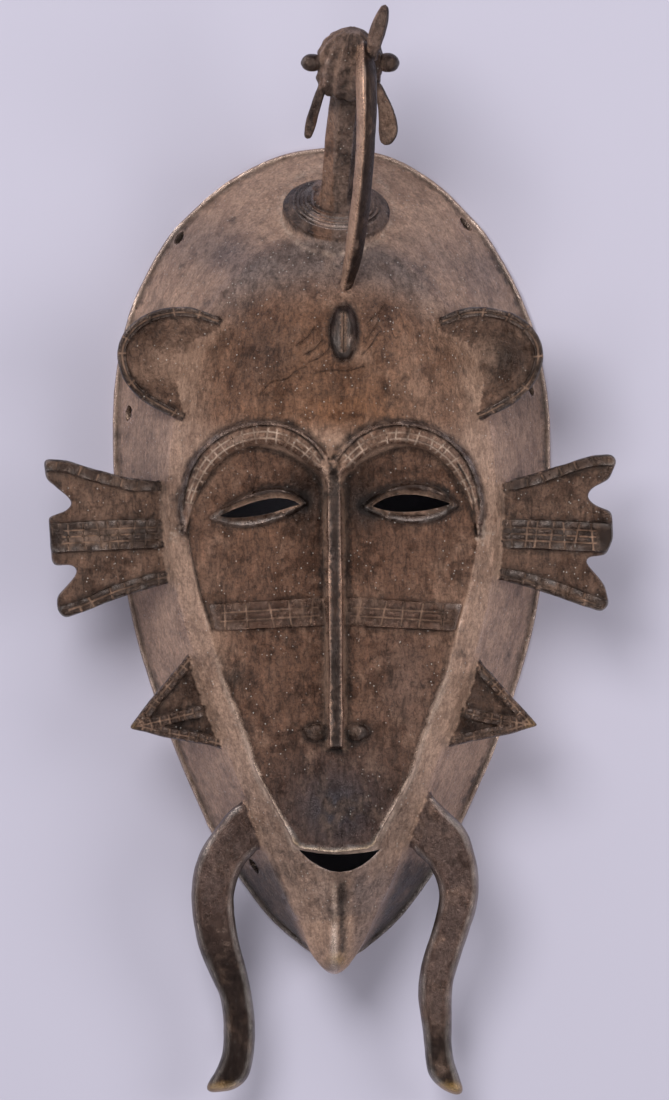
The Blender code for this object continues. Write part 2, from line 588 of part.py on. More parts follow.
def depth_line(ring, depth, spacing=None):
    """The outline moved inward by a depth, or outward where the depth is below 0."""
    run = np.roll(ring, -1, axis=0) - np.roll(ring, 1, axis=0)
    normal = np.stack((-run[:, 1], run[:, 0]), axis=1) / np.linalg.norm(run, axis=1)[:, None]
    moved = ring + normal * depth
    clear = np.abs(depth_inside(moved[:, 0], moved[:, 1], ring)) > abs(depth) * 0.97
    return evenly(moved[clear], spacing, closed=True) if spacing else moved[clear]


def brow_lines(line):
    """Both crests of a brow, with a point on each tick and between two ticks."""
    even = evenly(line, real(BROW_TICK_PITCH) / 2, closed=False)
    run = np.gradient(even, axis=0)
    normal = np.stack((-run[:, 1], run[:, 0]), axis=1) / np.linalg.norm(run, axis=1)[:, None]
    place = np.linspace(0, 1, len(even))
    half = curve_value(BROW_HALF_WIDTH, place)
    crest = np.maximum(half - 0.7, 0.3)[:, None]
    foot = (half + 0.35)[:, None]
    outer_foot = evenly(even + normal * foot, 4.0, closed=False)
    inner_foot = evenly(even - normal * foot, 4.0, closed=False)
    return [(even + normal * crest, False), (even - normal * crest, False),
            (outer_foot, False), (inner_foot, False)]


def inside_body():
    """The hollow of the bowl, run down past the rim plane."""
    wall = real(WALL)
    ring = depth_line(RIM, real(LIP_WIDTH) + INSIDE_RIM * wall, 7.0)
    lines = [(depth_line(BLOCK, INSIDE_BLOCK * wall, 9.0), True), (evenly(PANEL, 8.0, True), True)]

    def top(x, y):
        height = face_height(x, y, wall)
        return np.where(depth_inside(x, y, ring) < 0.05, real(LIP_HEIGHT) - INSIDE_LIP * wall, height)

    return slab("inside", ring, top, lambda x, y: np.full(x.shape, CUT_FLOOR), lines, 9.0)


def prism(name, ring):
    """Upright cutter right through the mask."""
    return slab(name, np.array(ring), lambda x, y: np.full(x.shape, CUT_TOP),
                lambda x, y: np.full(x.shape, CUT_FLOOR))


def beside(line, distance):
    """An open line moved sideways, to its left for a positive distance."""
    run = np.gradient(line, axis=0)
    normal = np.stack((-run[:, 1], run[:, 0]), axis=1) / np.linalg.norm(run, axis=1)[:, None]
    return line + normal * distance


def plane(x, place):
    """Height of a limb's plate, which falls away from the middle line."""
    height, where, fall = place
    return height * DEPTH - fall * (np.abs(x) - where)


def raised_bands(x, y, bands):
    """1 on the bands along some lines, with a short slope to 0 beside them."""
    return np.max([1 - ramp(nearest(x, y, line, closed=False)[0], half, half + SOFT_STEP)
                   for line, half in bands], axis=0)


def band_lines(bands):
    """Both edges of the bands, at the top and at the foot of their slopes."""
    return [(beside(line, side * (half + more)), False)
            for line, half in bands for more in (0.0, SOFT_STEP) for side in (-1, 1)]


def ear(side):
    """A dish with a raised band around its free edge, open towards the front."""
    edge = evenly(spline(EAR, 6, closed=False), 3.4, closed=False) * (side, 1)
    ring = counter_clockwise(edge)
    width = real(EAR_BAND_WIDTH)
    floor = width + 11.0

    def top(x, y):
        away, _ = nearest(x, y, edge, closed=False)
        sink = real(EAR_BOWL_DEPTH) * ramp(away, width - 0.4, floor)
        return plane(x, EAR_PLANE) - sink + real(EAR_BAND_RISE) * (1 - ramp(away, width - SOFT_STEP, width))

    def bottom(x, y):
        away, _ = nearest(x, y, edge, closed=False)
        return plane(x, EAR_PLANE) - real(EAR_THICKNESS) - real(EAR_BOWL_DEPTH) * ramp(away, 0.0, floor)

    lines = [(beside(edge, -side * (width + more)), False) for more in (-SOFT_STEP, 0.0)]
    lines.append((beside(edge, -side * (width + 5.0))[2:-2], False))
    return slab("ear", ring, top, bottom, lines, 8.0, follow=True)


def fin(side):
    """A flat plate with three prongs, and a raised band along each edge and the middle."""
    ring = corners_kept(counter_clockwise(np.array(FINS[side])), 4.6)
    upper = np.array(FINS[side][:5])
    lower = np.array(FINS[side][-5:])
    middle = np.array([(side * 44.0, 4.4), (side * 60.0, 4.0), (side * 76.0, 3.4), (side * 94.0, 2.6)])
    bands = [(upper, 3.2), (lower, 4.0), (middle, 4.5)]

    def top(x, y):
        return plane(x, FIN_PLANE) + real(FIN_BAND_RISE) * raised_bands(x, y, bands)

    def bottom(x, y):
        return plane(x, FIN_PLANE) - real(FIN_THICKNESS)

    return slab("fin", ring, top, bottom, band_lines(bands))


def corners_kept(ring, longest):
    """An outline with extra points on its long sides and all its own corners."""
    out = []
    for start, end in zip(ring, np.roll(ring, -1, axis=0)):
        pieces = max(1, int(round(np.linalg.norm(end - start) / longest)))
        out += [start + (end - start) * k / pieces for k in range(pieces)]
    return np.array(out)


def spike(side):
    """A pointed horn with raised bands along both edges and down its middle."""
    tip = np.array(SPIKES[side][0])
    upper = np.array(SPIKES[side][:4])
    lower = np.array([SPIKES[side][0]] + SPIKES[side][:5:-1])
    middle = np.array([tip, (side * 50.0, -55.0), (side * 34.0, -51.0)])
    bands = [(upper, 2.9), (lower, 2.9), (middle, 1.5)]

    def level(x, y):
        return SPIKE_TIP_HEIGHT * DEPTH + SPIKE_SLOPE * np.hypot(x - tip[0], y - tip[1])

    def top(x, y):
        return level(x, y) + real(SPIKE_BAND_RISE) * raised_bands(x, y, bands)

    def bottom(x, y):
        reach = np.hypot(x - tip[0], y - tip[1])
        return level(x, y) - real(SPIKE_THICKNESS) * ramp(reach, -12.0, 14.0)

    ring = corners_kept(counter_clockwise(np.array(SPIKES[side])), 5.0)
    return slab("spike", ring, top, bottom, band_lines(bands))


def leg(side):
    """A flat strap with rounded edges that curves down beside the chin."""
    ring = counter_clockwise(evenly(spline(LEGS[side], 5, closed=True), 4.4, closed=True))
    half = real(LEG_THICKNESS) / 2

    def top(x, y):
        depth = np.clip(depth_inside(x, y, ring) / LEG_EDGE_ROUND, 0, 1)
        return curve_value(LEG_HEIGHT, y) * DEPTH + half * (0.15 + 0.85 * np.sqrt(1 - (1 - depth) ** 2))

    def bottom(x, y):
        return curve_value(LEG_HEIGHT, y) * DEPTH - half

    return slab("leg", ring, top, bottom, [(depth_line(ring, 1.6, 4.4), True)])


def chin():
    """The pointed chin that stands out past the rim, with a keel down its middle."""
    ring = counter_clockwise(evenly(spline(CHIN, 4, closed=False), 3.2, closed=False))

    def level(x, y):
        share = np.clip(depth_inside(x, y, ring) / curve_value(CHIN_HALF, y), 0, 1)
        return curve_value(CHIN_HEIGHT, y) * DEPTH - CHIN_FALL * (1 - share) ** 2

    def bottom(x, y):
        return level(x, y) - real(CHIN_THICKNESS) * (0.35 + 0.65 * ramp(y, -138.0, -126.0))

    keel_line = np.array([(KEEL_X, y) for y in (-109.0, -113.0, -119.0, -126.0, -133.0)])
    lines = [(keel_line, False), (depth_line(ring, 2.6, 4.0), True), (depth_line(ring, 6.0, 5.0), True)]
    return slab("chin", ring, lambda x, y: level(x, y) + keel_rise(x, y), bottom, lines)


def on_bowl(place):
    """The point of the outer bowl at a place of the plan."""
    x, y = np.array([place[0]]), np.array([place[1]])
    return Vector((place[0], place[1], float(bowl_height(x, y, 0.0)[0])))


def bird():
    """Collar, neck, head, eye knobs, wattles, horn and the long beak that returns to the brow."""
    foot = on_bowl(NECK_FOOT)
    lift = Vector(NECK_LEAN).normalized()
    radius = real(COLLAR_DIAMETER) / 2
    neck = real(NECK_DIAMETER) / 2
    profile = [(radius * 0.55, -9.0), (radius, -5.0), (radius, 0.4)]
    for k in range(COLLAR_STEPS):
        out = radius - (radius - neck - 1.6) * (k + 0.35) / COLLAR_STEPS
        rise = 0.4 + real(COLLAR_STEP_RISE) * (k + 1)
        profile += [(out, rise), (out - (radius - neck - 1.6) / COLLAR_STEPS * 0.75, rise + 0.1)]
    top = profile[-1][1]
    profile += [(neck * 1.12, top + 0.2), (neck, top + 5.0), (neck * 0.5, top + 5.2)]
    parts = [turned("collar", foot, lift, profile, 22)]
    head = foot + lift * NECK_LENGTH
    marks = [0.0, 0.3, 0.6, 0.85, 1.0]
    swell = [2 * neck * share for share in (1.05, 1.0, 0.98, 1.0, 1.0)]
    parts.append(tube("neck", [foot + lift * (2 + (NECK_LENGTH - 2) * mark) for mark in marks],
                      swell, swell, 14, up=(1, 0, 0)))
    width = real(HEAD_WIDTH) / 2
    parts.append(tube("head", [head + lift * HEAD_HALF_LENGTH * at for at, _ in HEAD_RINGS],
                      [2 * width * share for _, share in HEAD_RINGS],
                      [2 * HEAD_HALF_DEPTH * share for _, share in HEAD_RINGS], 24,
                      up=(0, -lift.z, lift.y), flute=HEAD_FLUTE))
    knob = real(EYE_KNOB_DIAMETER) / 2
    for side in (-1, 1):
        centre = head + Vector((side * (width + knob * 0.55), -0.5, 1.0))
        swell = [2 * knob * share for _, share in KNOB_RINGS]
        parts.append(tube("eye_knob", [centre + Vector((at * knob * 1.2, 0, 0)) for at, _ in KNOB_RINGS],
                          swell, swell, 10))
    root = head + Vector(BEAK_ROOT)
    reach = on_bowl(BEAK_TIP) - Vector((0, 0, real(BEAK_TIP_SUNK))) - root
    beak = [root + reach * at + Vector((right, 0, up)) for at, right, up in BEAK_ARCH]
    beak = spline(beak, 2, closed=False)
    share = np.linspace(0, 1, len(beak))
    wide = real(BEAK_WIDTH) * curve_value([(0, 0.8), (0.15, 1.05), (0.6, 1.0), (1, 0.62)], share)
    deep = real(BEAK_DEPTH) * curve_value([(0, 0.9), (0.15, 1.1), (0.6, 0.9), (1, 0.6)], share)
    parts.append(tube("beak", beak, wide, deep, 8))
    horn = spline([head + Vector(point) for point in HORN_PATH], 2, closed=False)
    share = np.linspace(0, 1, len(horn))
    swell = curve_value([(0, 0.7), (0.5, 1.0), (1, 0.35)], share)
    parts.append(tube("horn", horn, real(HORN_WIDTH) * swell, real(HORN_DEPTH) * swell, 8))
    for side, path in WATTLES.items():
        line = spline([head + Vector(point) for point in path], 2, closed=False)
        share = np.linspace(0, 1, len(line))
        swell = [(0, 0.8), (0.6, 1.0), (1, 0.6)] if side < 0 else [(0, 0.7), (0.7, 1.7), (1, 0.9)]
        parts.append(tube("wattle", line, real(WATTLE_WIDTH) * curve_value(swell, share),
                          real(WATTLE_DEPTH) * curve_value([(0, 1.0), (1, 0.8)], share), 8))
    return parts


def tie_hole(place):
    """Round cutter square to the flank, to tie a costume to the rim."""
    step = 0.5
    around = np.array([place, place, place]) + ((0, 0), (step, 0), (0, step))
    z = bowl_height(around[:, 0], around[:, 1], 0.0)
    normal = Vector((z[0] - z[1], z[0] - z[2], step)).normalized()
    centre = Vector((place[0], place[1], z[0]))
    width = real(TIE_HOLE_DIAMETER)
    return tube("tie_hole", [centre + normal * reach for reach in (-7.0, 6.0)],
                [width, width], [width, width], 10, up=(0.1, 0.2, 1.0))


def join(body, other, operation):
    """Adds the other object to the body, or cuts it out of the body."""
    change = body.modifiers.new(other.name, "BOOLEAN")
    change.object = other
    change.operation = operation
    change.solver = "EXACT"
    other.hide_render = True
    other.display_type = "WIRE"


def flatten(body):
    """Replaces the body's mesh with the result of its modifiers and removes what they used."""
    result = bpy.data.meshes.new_from_object(body.evaluated_get(bpy.context.evaluated_depsgraph_get()))
    used = [change.object for change in body.modifiers]
    body.modifiers.clear()
    body.data = result
    for other in used:
        bpy.data.objects.remove(other)


def clean(data):
    """Joins the slivers that the cuts leave in flat faces, and splits all faces into triangles."""
    mesh = bmesh.new()
    mesh.from_mesh(data)
    bmesh.ops.dissolve_limit(mesh, angle_limit=math.radians(0.6), verts=mesh.verts, edges=mesh.edges)
    bmesh.ops.triangulate(mesh, faces=mesh.faces)
    mesh.to_mesh(data)
    mesh.free()


def build():
    for old in list(bpy.data.objects):
        bpy.data.objects.remove(old)
    mask = outer_body()
    join(mask, chin(), "UNION")
    for side in (-1, 1):
        for limb in (ear(side), fin(side), spike(side), leg(side)):
            join(mask, limb, "UNION")
    for piece in bird():
        join(mask, piece, "UNION")
    join(mask, inside_body(), "DIFFERENCE")
    for side in (-1, 1):
        join(mask, prism("eye_slit", almond(EYE_SLITS[side])), "DIFFERENCE")
    join(mask, prism("mouth", almond(MOUTH)), "DIFFERENCE")
    for place in TIE_HOLES:
        join(mask, tie_hole(place), "DIFFERENCE")
    bpy.context.view_layer.update()
    flatten(mask)
    clean(mask.data)
    corners = np.array([v.co for v in mask.data.vertices])
    middle = (corners.min(axis=0) + corners.max(axis=0)) / 2
    mask.data.transform(Matrix.Translation((-middle[0], -middle[1], 0.0)))
    mask.data.shade_smooth()
    mask.data.set_sharp_from_angle(angle=math.radians(32))
    bronze = bpy.data.materials.new("bronze")
    bronze.use_nodes = True
    shader = bronze.node_tree.nodes["Principled BSDF"]
    shader.inputs["Base Color"].default_value = (*BRONZE, 1.0)
    shader.inputs["Roughness"].default_value = BRONZE_ROUGHNESS
    shader.inputs["Metallic"].default_value = BRONZE_METALLIC
    mask.data.materials.clear()
    mask.data.materials.append(bronze)
    return mask


build()
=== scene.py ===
"""Looks of the bronze mask: the casting's forms at fine spacing, its incised patterns and its patina.

The forms repeat the solid's own outlines and heights, in its millimetres: z = 0 is the rim plane,
the face looks up along +Z and the top of the head points along +Y.
"""
import math

import bmesh
import bpy
import numpy as np
from mathutils import Matrix, Vector, geometry, kdtree


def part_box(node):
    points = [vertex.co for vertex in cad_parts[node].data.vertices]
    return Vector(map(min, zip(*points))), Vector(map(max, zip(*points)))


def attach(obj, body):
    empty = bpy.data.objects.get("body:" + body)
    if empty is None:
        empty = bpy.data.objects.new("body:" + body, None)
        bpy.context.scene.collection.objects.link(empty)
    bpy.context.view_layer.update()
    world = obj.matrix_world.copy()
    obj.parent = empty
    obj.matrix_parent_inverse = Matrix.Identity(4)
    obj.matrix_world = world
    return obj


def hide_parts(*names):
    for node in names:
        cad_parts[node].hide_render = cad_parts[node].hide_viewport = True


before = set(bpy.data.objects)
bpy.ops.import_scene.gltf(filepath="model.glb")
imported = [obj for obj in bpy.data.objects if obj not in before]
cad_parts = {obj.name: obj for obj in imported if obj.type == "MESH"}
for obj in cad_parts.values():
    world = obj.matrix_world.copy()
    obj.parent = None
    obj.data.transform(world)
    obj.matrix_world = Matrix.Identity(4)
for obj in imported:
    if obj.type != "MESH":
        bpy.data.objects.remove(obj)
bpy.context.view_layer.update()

# Real sizes, in millimetres
RIM_LENGTH = 262.5
FOREHEAD_HEIGHT = 62.0
WALL = 3.0
LIP_WIDTH = 1.4
LIP_HEIGHT = 2.6
BROW_RISE = 2.0
BROW_TICK_PITCH = 3.3
LID_RISE = 1.8
NOSE_RISE = 8.5
NOSE_TOP_WIDTH = 4.0
NOSE_FOOT_WIDTH = 7.4
CHEEK_BAND_RISE = 0.9
MOUTH_LIP_RISE = 0.8
NOSTRIL_RISE = 2.4
BOSS_RISE = 3.0
BOSS_SLIT_DEPTH = 1.1
EAR_THICKNESS = 3.2
EAR_BAND_WIDTH = 3.4
EAR_BAND_RISE = 1.2
EAR_BOWL_DEPTH = 5.0
FIN_THICKNESS = 2.8
FIN_BAND_RISE = 1.2
SPIKE_THICKNESS = 5.0
SPIKE_BAND_RISE = 1.4
LEG_THICKNESS = 5.0
LEG_EDGE_ROUND = 2.2
CHIN_THICKNESS = 12.0
KEEL_RISE = 1.8
TIE_HOLE_DIAMETER = 5.0
NECK_DIAMETER = 12.0
COLLAR_DIAMETER = 34.8
COLLAR_STEPS = 5
COLLAR_STEP_RISE = 0.75
HEAD_WIDTH = 21.0
EYE_KNOB_DIAMETER = 6.0
BEAK_WIDTH = 6.2
BEAK_DEPTH = 7.0
HORN_WIDTH = 5.0
HORN_DEPTH = 4.0
WATTLE_WIDTH = 3.2
WATTLE_DEPTH = 3.0

METRE = 0.001
SIDES = (-1, 1)


# The outlines below are drawn to one scale, and the sizes above set that scale.
# Rim: half-width of the mask at each height of the drawing, bottom to top
RIM_HALF = [(-134.0, 0.0), (-131.5, 6.0), (-128.0, 11.5), (-119.0, 21.5), (-106.0, 31.0),
            (-90.0, 40.5), (-62.0, 52.6), (-29.5, 63.4), (3.0, 68.9), (35.0, 70.4),
            (57.0, 68.6), (76.0, 63.6), (97.0, 53.0), (112.0, 39.5), (121.5, 26.0),
            (126.5, 14.0), (128.5, 0.0)]
SCALE = RIM_LENGTH / (RIM_HALF[-1][0] - RIM_HALF[0][0])

# Edge of the raised face block, where the flank begins
BLOCK_HALF = [(-133.0, 0.0), (-128.0, 7.0), (-119.0, 12.5), (-106.0, 19.0), (-95.0, 23.0),
              (-80.0, 29.0), (-64.0, 35.0), (-35.0, 45.0), (-10.0, 51.0), (20.0, 52.6),
              (45.0, 49.5), (72.0, 40.5), (90.0, 26.0), (97.5, 11.0), (99.0, 0.0)]

# Face panel below the brows, measured from the middle line
PANEL_HALF = [(-98.3, 0.0), (-96.6, 11.8), (-92.0, 14.5), (-74.4, 24.2), (-62.7, 28.0),
              (-53.5, 31.3), (-41.8, 35.8), (-25.8, 39.5), (-14.0, 43.0), (3.0, 46.4),
              (12.0, 44.6), (20.0, 41.4), (26.0, 37.0), (30.0, 31.5), (32.0, 25.0),
              (31.0, 18.0), (27.5, 10.5), (23.0, 5.0), (17.0, 1.6), (16.0, 0.0)]

# The middle line of the face leans a little to the right of the rim's axis
LEAN = [(-134.0, 1.5), (-60.0, 1.3), (35.0, 0.4), (97.0, -0.8), (128.5, 1.0)]

# Heights above the rim plane along the face: block edge, forehead and face, panel
EDGE_HEIGHT = [(-134.0, 29.0), (-113.0, 35.0), (-90.0, 40.0), (-60.0, 43.5), (0.0, 45.0),
               (45.0, 45.5), (75.0, 44.5), (99.0, 43.5)]
CROWN_HEIGHT = [(-134.0, 33.0), (-113.0, 42.0), (-90.0, 49.5), (-60.0, 55.0), (0.0, 60.5),
                (45.0, 62.0), (75.0, 60.5), (99.0, 58.0)]
DEPTH = FOREHEAD_HEIGHT / max(height for _, height in CROWN_HEIGHT)
BLOCK_RUN = [(-134.0, 9.0), (-100.0, 14.0), (-60.0, 22.0), (0.0, 28.0), (45.0, 31.0), (99.0, 40.0)]
PANEL_HEIGHT = [(-98.0, 49.5), (-60.0, 51.2), (-20.0, 52.6), (15.0, 53.6), (32.0, 56.5)]
NOSE_SHARE = [(-66.0, 1.0), (-30.0, 1.0), (10.0, 0.95), (28.0, 0.78)]

# Hollows beside the root of the nose: place, reach and depth
SOCKET = (8.5, 14.0)
SOCKET_REACH = (7.0, 11.0)
SOCKET_DEPTH = 3.2

# The inside follows the outside: its shifts at the rim, the block's edge and the lip, in walls
INSIDE_RIM = 1.05
INSIDE_BLOCK = 0.62
INSIDE_LIP = 0.4
CUT_FLOOR = -20.0
CUT_TOP = 120.0

# Nose, bands and brows lie this far to the right of the leaning middle line
NOSE_SHIFT = 0.6
BROW_SHIFT = 0.4

# Middle line of one brow, from the nose outward, and its half-width along it
BROW_PATH = [(2.6, 25.5), (6.5, 30.2), (12.0, 34.2), (18.5, 36.3), (25.0, 36.2), (32.0, 34.2),
             (38.5, 29.6), (43.5, 22.5), (46.8, 13.0), (47.3, 4.0)]
BROW_HALF_WIDTH = [(0.0, 3.3), (0.2, 3.9), (0.6, 3.9), (0.85, 2.6), (1.0, 0.9)]

# Each eye: inner corner, outer corner, crest of the lid above, lowest point below
EYE_LIDS = {-1: ((-6.6, 13.7), (-38.6, 9.2), (-20.0, 18.6), (-24.5, 6.4)),
            1: ((9.6, 12.6), (41.2, 13.2), (26.5, 20.4), (27.0, 7.4))}
EYE_SLITS = {-1: ((-9.6, 13.4), (-35.4, 9.7), (-19.5, 15.4), (-24.5, 9.6)),
             1: ((13.2, 12.8), (38.4, 13.6), (24.0, 16.6), (25.0, 11.0))}

CHEEK_BAND = [(3.6, -16.2), (40.5, -18.6), (38.2, -27.0), (3.2, -25.4)]
NOSE_TOP = 29.0
NOSE_TIP = -64.4
NOSTRIL = (6.6, -59.6)
NOSTRIL_HALF = (4.4, 3.2)
MOUTH = ((-10.2, -97.2), (16.2, -97.0), (2.8, -98.7), (3.2, -104.4))
BOSS = (4.3, 68.5)
BOSS_HALF = (4.7, 9.2)
TIE_HOLES = [(-64.9, 42.8), (-48.6, 99.2), (43.6, 103.6), (64.4, 50.8), (-24.6, -102.8)]

CHIN = [(-13.0, -106.0), (-12.4, -113.0), (-9.8, -121.0), (-7.4, -128.4), (-4.6, -133.2), (1.2, -137.4),
        (6.8, -133.6), (10.6, -128.0), (14.0, -121.0), (16.6, -113.0), (17.6, -106.0)]
CHIN_HALF = [(-137.4, 1.0), (-133.4, 5.6), (-128.0, 9.2), (-113.0, 15.4), (-104.0, 17.4)]
CHIN_HEIGHT = [(-137.4, 34.4), (-128.0, 37.6), (-113.0, 41.4), (-104.0, 44.4)]
CHIN_FALL = 6.4
KEEL_X = 1.2

# Heights of the limbs: at a distance from the middle line, and the fall for each mm past it;
# a spike grows to its full thickness over its run from the tip
EAR_PLANE = (47.5, 50.0, 0.16)
FIN_PLANE = (40.0, 52.0, 0.06)
SPIKE_TIP_HEIGHT = 36.5
SPIKE_SLOPE = 0.12
LEG_HEIGHT = [(-176.0, 17.0), (-140.0, 24.0), (-105.0, 33.0), (-76.0, 40.0)]
SOFT_STEP = 0.6
SPIKE_RUN = (-12.0, 14.0)

EAR = [(34.0, 73.2), (45.0, 76.6), (55.5, 75.6), (63.5, 71.4), (68.2, 63.8), (67.0, 55.0),
       (61.5, 47.6), (51.0, 41.4), (45.0, 39.0)]

FINS = {-1: [(-48.0, 21.0), (-63.7, 21.6), (-75.9, 24.6), (-84.3, 27.5), (-91.7, 27.9), (-91.2, 21.6),
             (-84.3, 15.9), (-82.6, 13.8), (-84.5, 11.6), (-90.7, 9.6), (-89.0, -6.2), (-82.6, -5.9),
             (-80.9, -7.8), (-82.4, -10.2), (-87.8, -16.2), (-87.6, -20.6), (-85.2, -23.2),
             (-78.0, -20.8), (-67.8, -16.4), (-55.4, -12.6), (-45.0, -11.0)],
        1: [(49.0, 19.0), (65.8, 23.4), (78.0, 27.6), (84.1, 29.2), (90.3, 29.6), (91.9, 27.6),
            (89.6, 21.5), (83.6, 18.4), (82.2, 16.0), (84.5, 13.4), (90.2, 11.0), (90.8, 2.2),
            (88.6, -2.8), (82.4, -3.4), (81.7, -5.2), (88.0, -12.0), (89.8, -18.6),
            (87.2, -21.2), (80.0, -18.6), (71.9, -15.6), (61.6, -12.4), (46.0, -9.4)]}

SPIKES = {-1: [(-64.4, -58.3), (-57.5, -48.9), (-51.1, -41.2), (-44.6, -33.0), (-38.0, -34.0),
               (-29.0, -63.0), (-34.2, -65.2), (-43.1, -62.9), (-53.5, -61.1)],
          1: [(66.8, -57.5), (57.6, -47.4), (52.0, -41.2), (46.0, -34.2), (39.0, -35.0),
              (32.0, -63.0), (37.6, -64.4), (49.6, -61.6), (57.6, -60.3)]}

LEGS = {-1: [(-28.4, -81.4), (-37.3, -91.2), (-42.4, -100.0), (-44.6, -111.0), (-43.0, -125.3),
             (-39.2, -136.0), (-35.2, -146.0), (-34.2, -156.0), (-35.4, -165.6), (-39.8, -174.3),
             (-33.7, -175.0), (-28.0, -172.4), (-25.0, -166.0), (-24.2, -153.0), (-26.4, -138.0),
             (-29.4, -126.5), (-30.9, -115.0), (-29.4, -105.4), (-25.4, -99.4), (-19.0, -94.0),
             (-22.0, -84.0)],
        1: [(29.6, -76.0), (36.2, -83.6), (43.2, -91.0), (47.3, -103.6), (46.9, -115.3),
            (43.6, -126.5), (39.6, -140.0), (39.0, -152.7), (39.3, -163.2), (42.6, -175.1),
            (36.8, -174.8), (31.4, -169.0), (30.0, -157.0), (28.4, -144.3), (29.5, -133.0),
            (33.4, -120.6), (34.8, -110.5), (31.6, -102.6), (26.0, -97.4), (22.0, -93.0),
            (24.0, -84.0)]}

# Bird: foot of the neck on the crown, direction of the neck and length to the head's middle
NECK_FOOT = (2.0, 108.0)
NECK_LEAN = (0.075, 0.826, 0.556)
NECK_LENGTH = 57.0
HEAD_HALF_LENGTH = 11.0
HEAD_HALF_DEPTH = 8.8
HEAD_FLUTE = 0.06

# Sections along the head: place and width, as shares of its half-sizes
HEAD_RINGS = [(-1.05, 0.5), (-0.95, 0.86), (-0.5, 0.98), (0.05, 1.0), (0.5, 0.88), (0.85, 0.58),
              (1.08, 0.24)]

# The horn's and the wattles' points, measured from the head's middle
HORN_PATH = [(6.9, -0.2, 9.6), (8.1, 6.8, 13.6), (10.1, 13.3, 15.2), (11.3, 17.8, 14.6)]
WATTLES = {-1: [(-7.9, -5.2, 0.6), (-10.5, -13.2, -2.9), (-12.5, -19.6, -6.4), (-13.7, -24.6, -9.8)],
           1: [(8.1, -6.2, 0.6), (11.1, -14.2, -2.9), (12.3, -21.2, -6.4), (11.1, -26.8, -9.8)]}

# The beak runs from its root, measured from the head's middle, to its tip, sunk in the forehead.
# Its arch: share of the way, then how far it stands to the right of and above the straight line.
# The corners of its section are angles, in radians from its right side
BEAK_CORNERS = (1.4, 3.05, 4.6, 5.95)
BEAK_ROOT = (4.7, 4.8, 8.6)
BEAK_TIP = (4.8, 82.5)
BEAK_TIP_SUNK = 1.2
BEAK_ARCH = [(0.0, 0.0, 0.0), (0.12, 1.1, 7.4), (0.29, 2.3, 11.5), (0.48, 2.9, 11.9), (0.67, 2.6, 9.6),
             (0.84, 1.8, 5.8), (0.93, 0.9, 3.0), (1.0, 0.0, 0.0)]


def real(size):
    """A real size in the drawing's own scale."""
    return size / SCALE


def curve_value(knots, at):
    """Smooth curve through (place, value) knots, without overshoot between them."""
    place = np.array([knot[0] for knot in knots])
    value = np.array([knot[1] for knot in knots])
    step = np.diff(place)
    slope = np.diff(value) / step
    tangent = np.concatenate(([slope[0]], np.zeros(len(slope) - 1), [slope[-1]]))
    same_way = slope[:-1] * slope[1:] > 0
    mean = 2.0 * slope[:-1] * slope[1:] / np.where(same_way, slope[:-1] + slope[1:], 1.0)
    tangent[1:-1] = np.where(same_way, mean, 0.0)
    at = np.clip(np.asarray(at, dtype=float), place[0], place[-1])
    i = np.clip(np.searchsorted(place, at, side="right") - 1, 0, len(step) - 1)
    t = (at - place[i]) / step[i]
    rise = (1 + 2 * t) * (1 - t) ** 2 * value[i] + t * t * (3 - 2 * t) * value[i + 1]
    return rise + step[i] * (t * (1 - t) ** 2 * tangent[i] - t * t * (1 - t) * tangent[i + 1])


def ramp(value, low, high):
    """0 below low, 1 above high, and a smooth step between."""
    t = np.clip((value - low) / (high - low), 0.0, 1.0)
    return t * t * (3 - 2 * t)


def bell(value, middle, half):
    """1 at the middle, falling smoothly to 0 on both sides."""
    return np.exp(-((value - middle) / half) ** 2)


def spot(x, y, centre, half):
    """1 at a place, falling smoothly to 0 round it."""
    return np.exp(-((x - centre[0]) / half[0]) ** 2 - ((y - centre[1]) / half[1]) ** 2)


def oval(x, y, centre, half):
    """0 at the middle of an ellipse and 1 on its edge."""
    return np.hypot((x - centre[0]) / half[0], (y - centre[1]) / half[1])


def dome(share):
    """Height of a half ball at a share of its radius."""
    return np.sqrt(np.clip(1 - share ** 2, 0, 1))


def lean(y):
    """Where the middle line of the face lies at a height of the drawing."""
    return curve_value(LEAN, y)


def off_nose(x, y):
    """Distance to the leaning middle line of the nose."""
    return np.abs(x - lean(y) - NOSE_SHIFT)


def beside_nose(line):
    """A line drawn round the nose's middle line, moved to where that lies."""
    line[:, 0] += lean(line[:, 1]) + NOSE_SHIFT
    return line


def spline(points, pieces, closed=False):
    """Points of a Catmull-Rom curve, with this many pieces between two of its points."""
    points = np.array(points, dtype=float)
    count = len(points)
    if closed:
        before, after, after2 = (np.roll(points, k, axis=0) for k in (1, -1, -2))
    else:
        padded = np.vstack((2 * points[0] - points[1], points, 2 * points[-1] - points[-2]))
        before, points, after, after2 = padded[:-3], padded[1:-2], padded[2:-1], padded[3:]
        count -= 1
    out = []
    for t in np.arange(pieces) / pieces:
        out.append(0.5 * (2 * points[:count] + (after[:count] - before[:count]) * t
                          + (2 * before[:count] - 5 * points[:count] + 4 * after[:count]
                             - after2[:count]) * t ** 2
                          + (3 * points[:count] - before[:count] - 3 * after[:count]
                             + after2[:count]) * t ** 3))
    line = np.stack(out, axis=1).reshape(-1, len(before[0]))
    return line if closed else np.vstack((line, after[count - 1]))


def evenly(line, spacing, closed=False):
    """The same line with its points about spacing apart."""
    if closed:
        line = np.vstack((line, line[0]))
    along = np.concatenate(([0.0], np.cumsum(np.linalg.norm(np.diff(line, axis=0), axis=1))))
    count = max(3, int(round(along[-1] / spacing)))
    marks = np.linspace(0.0, along[-1], count + 1)
    even = np.stack([np.interp(marks, along, line[:, k]) for k in range(line.shape[1])], axis=1)
    return even[:-1] if closed else even


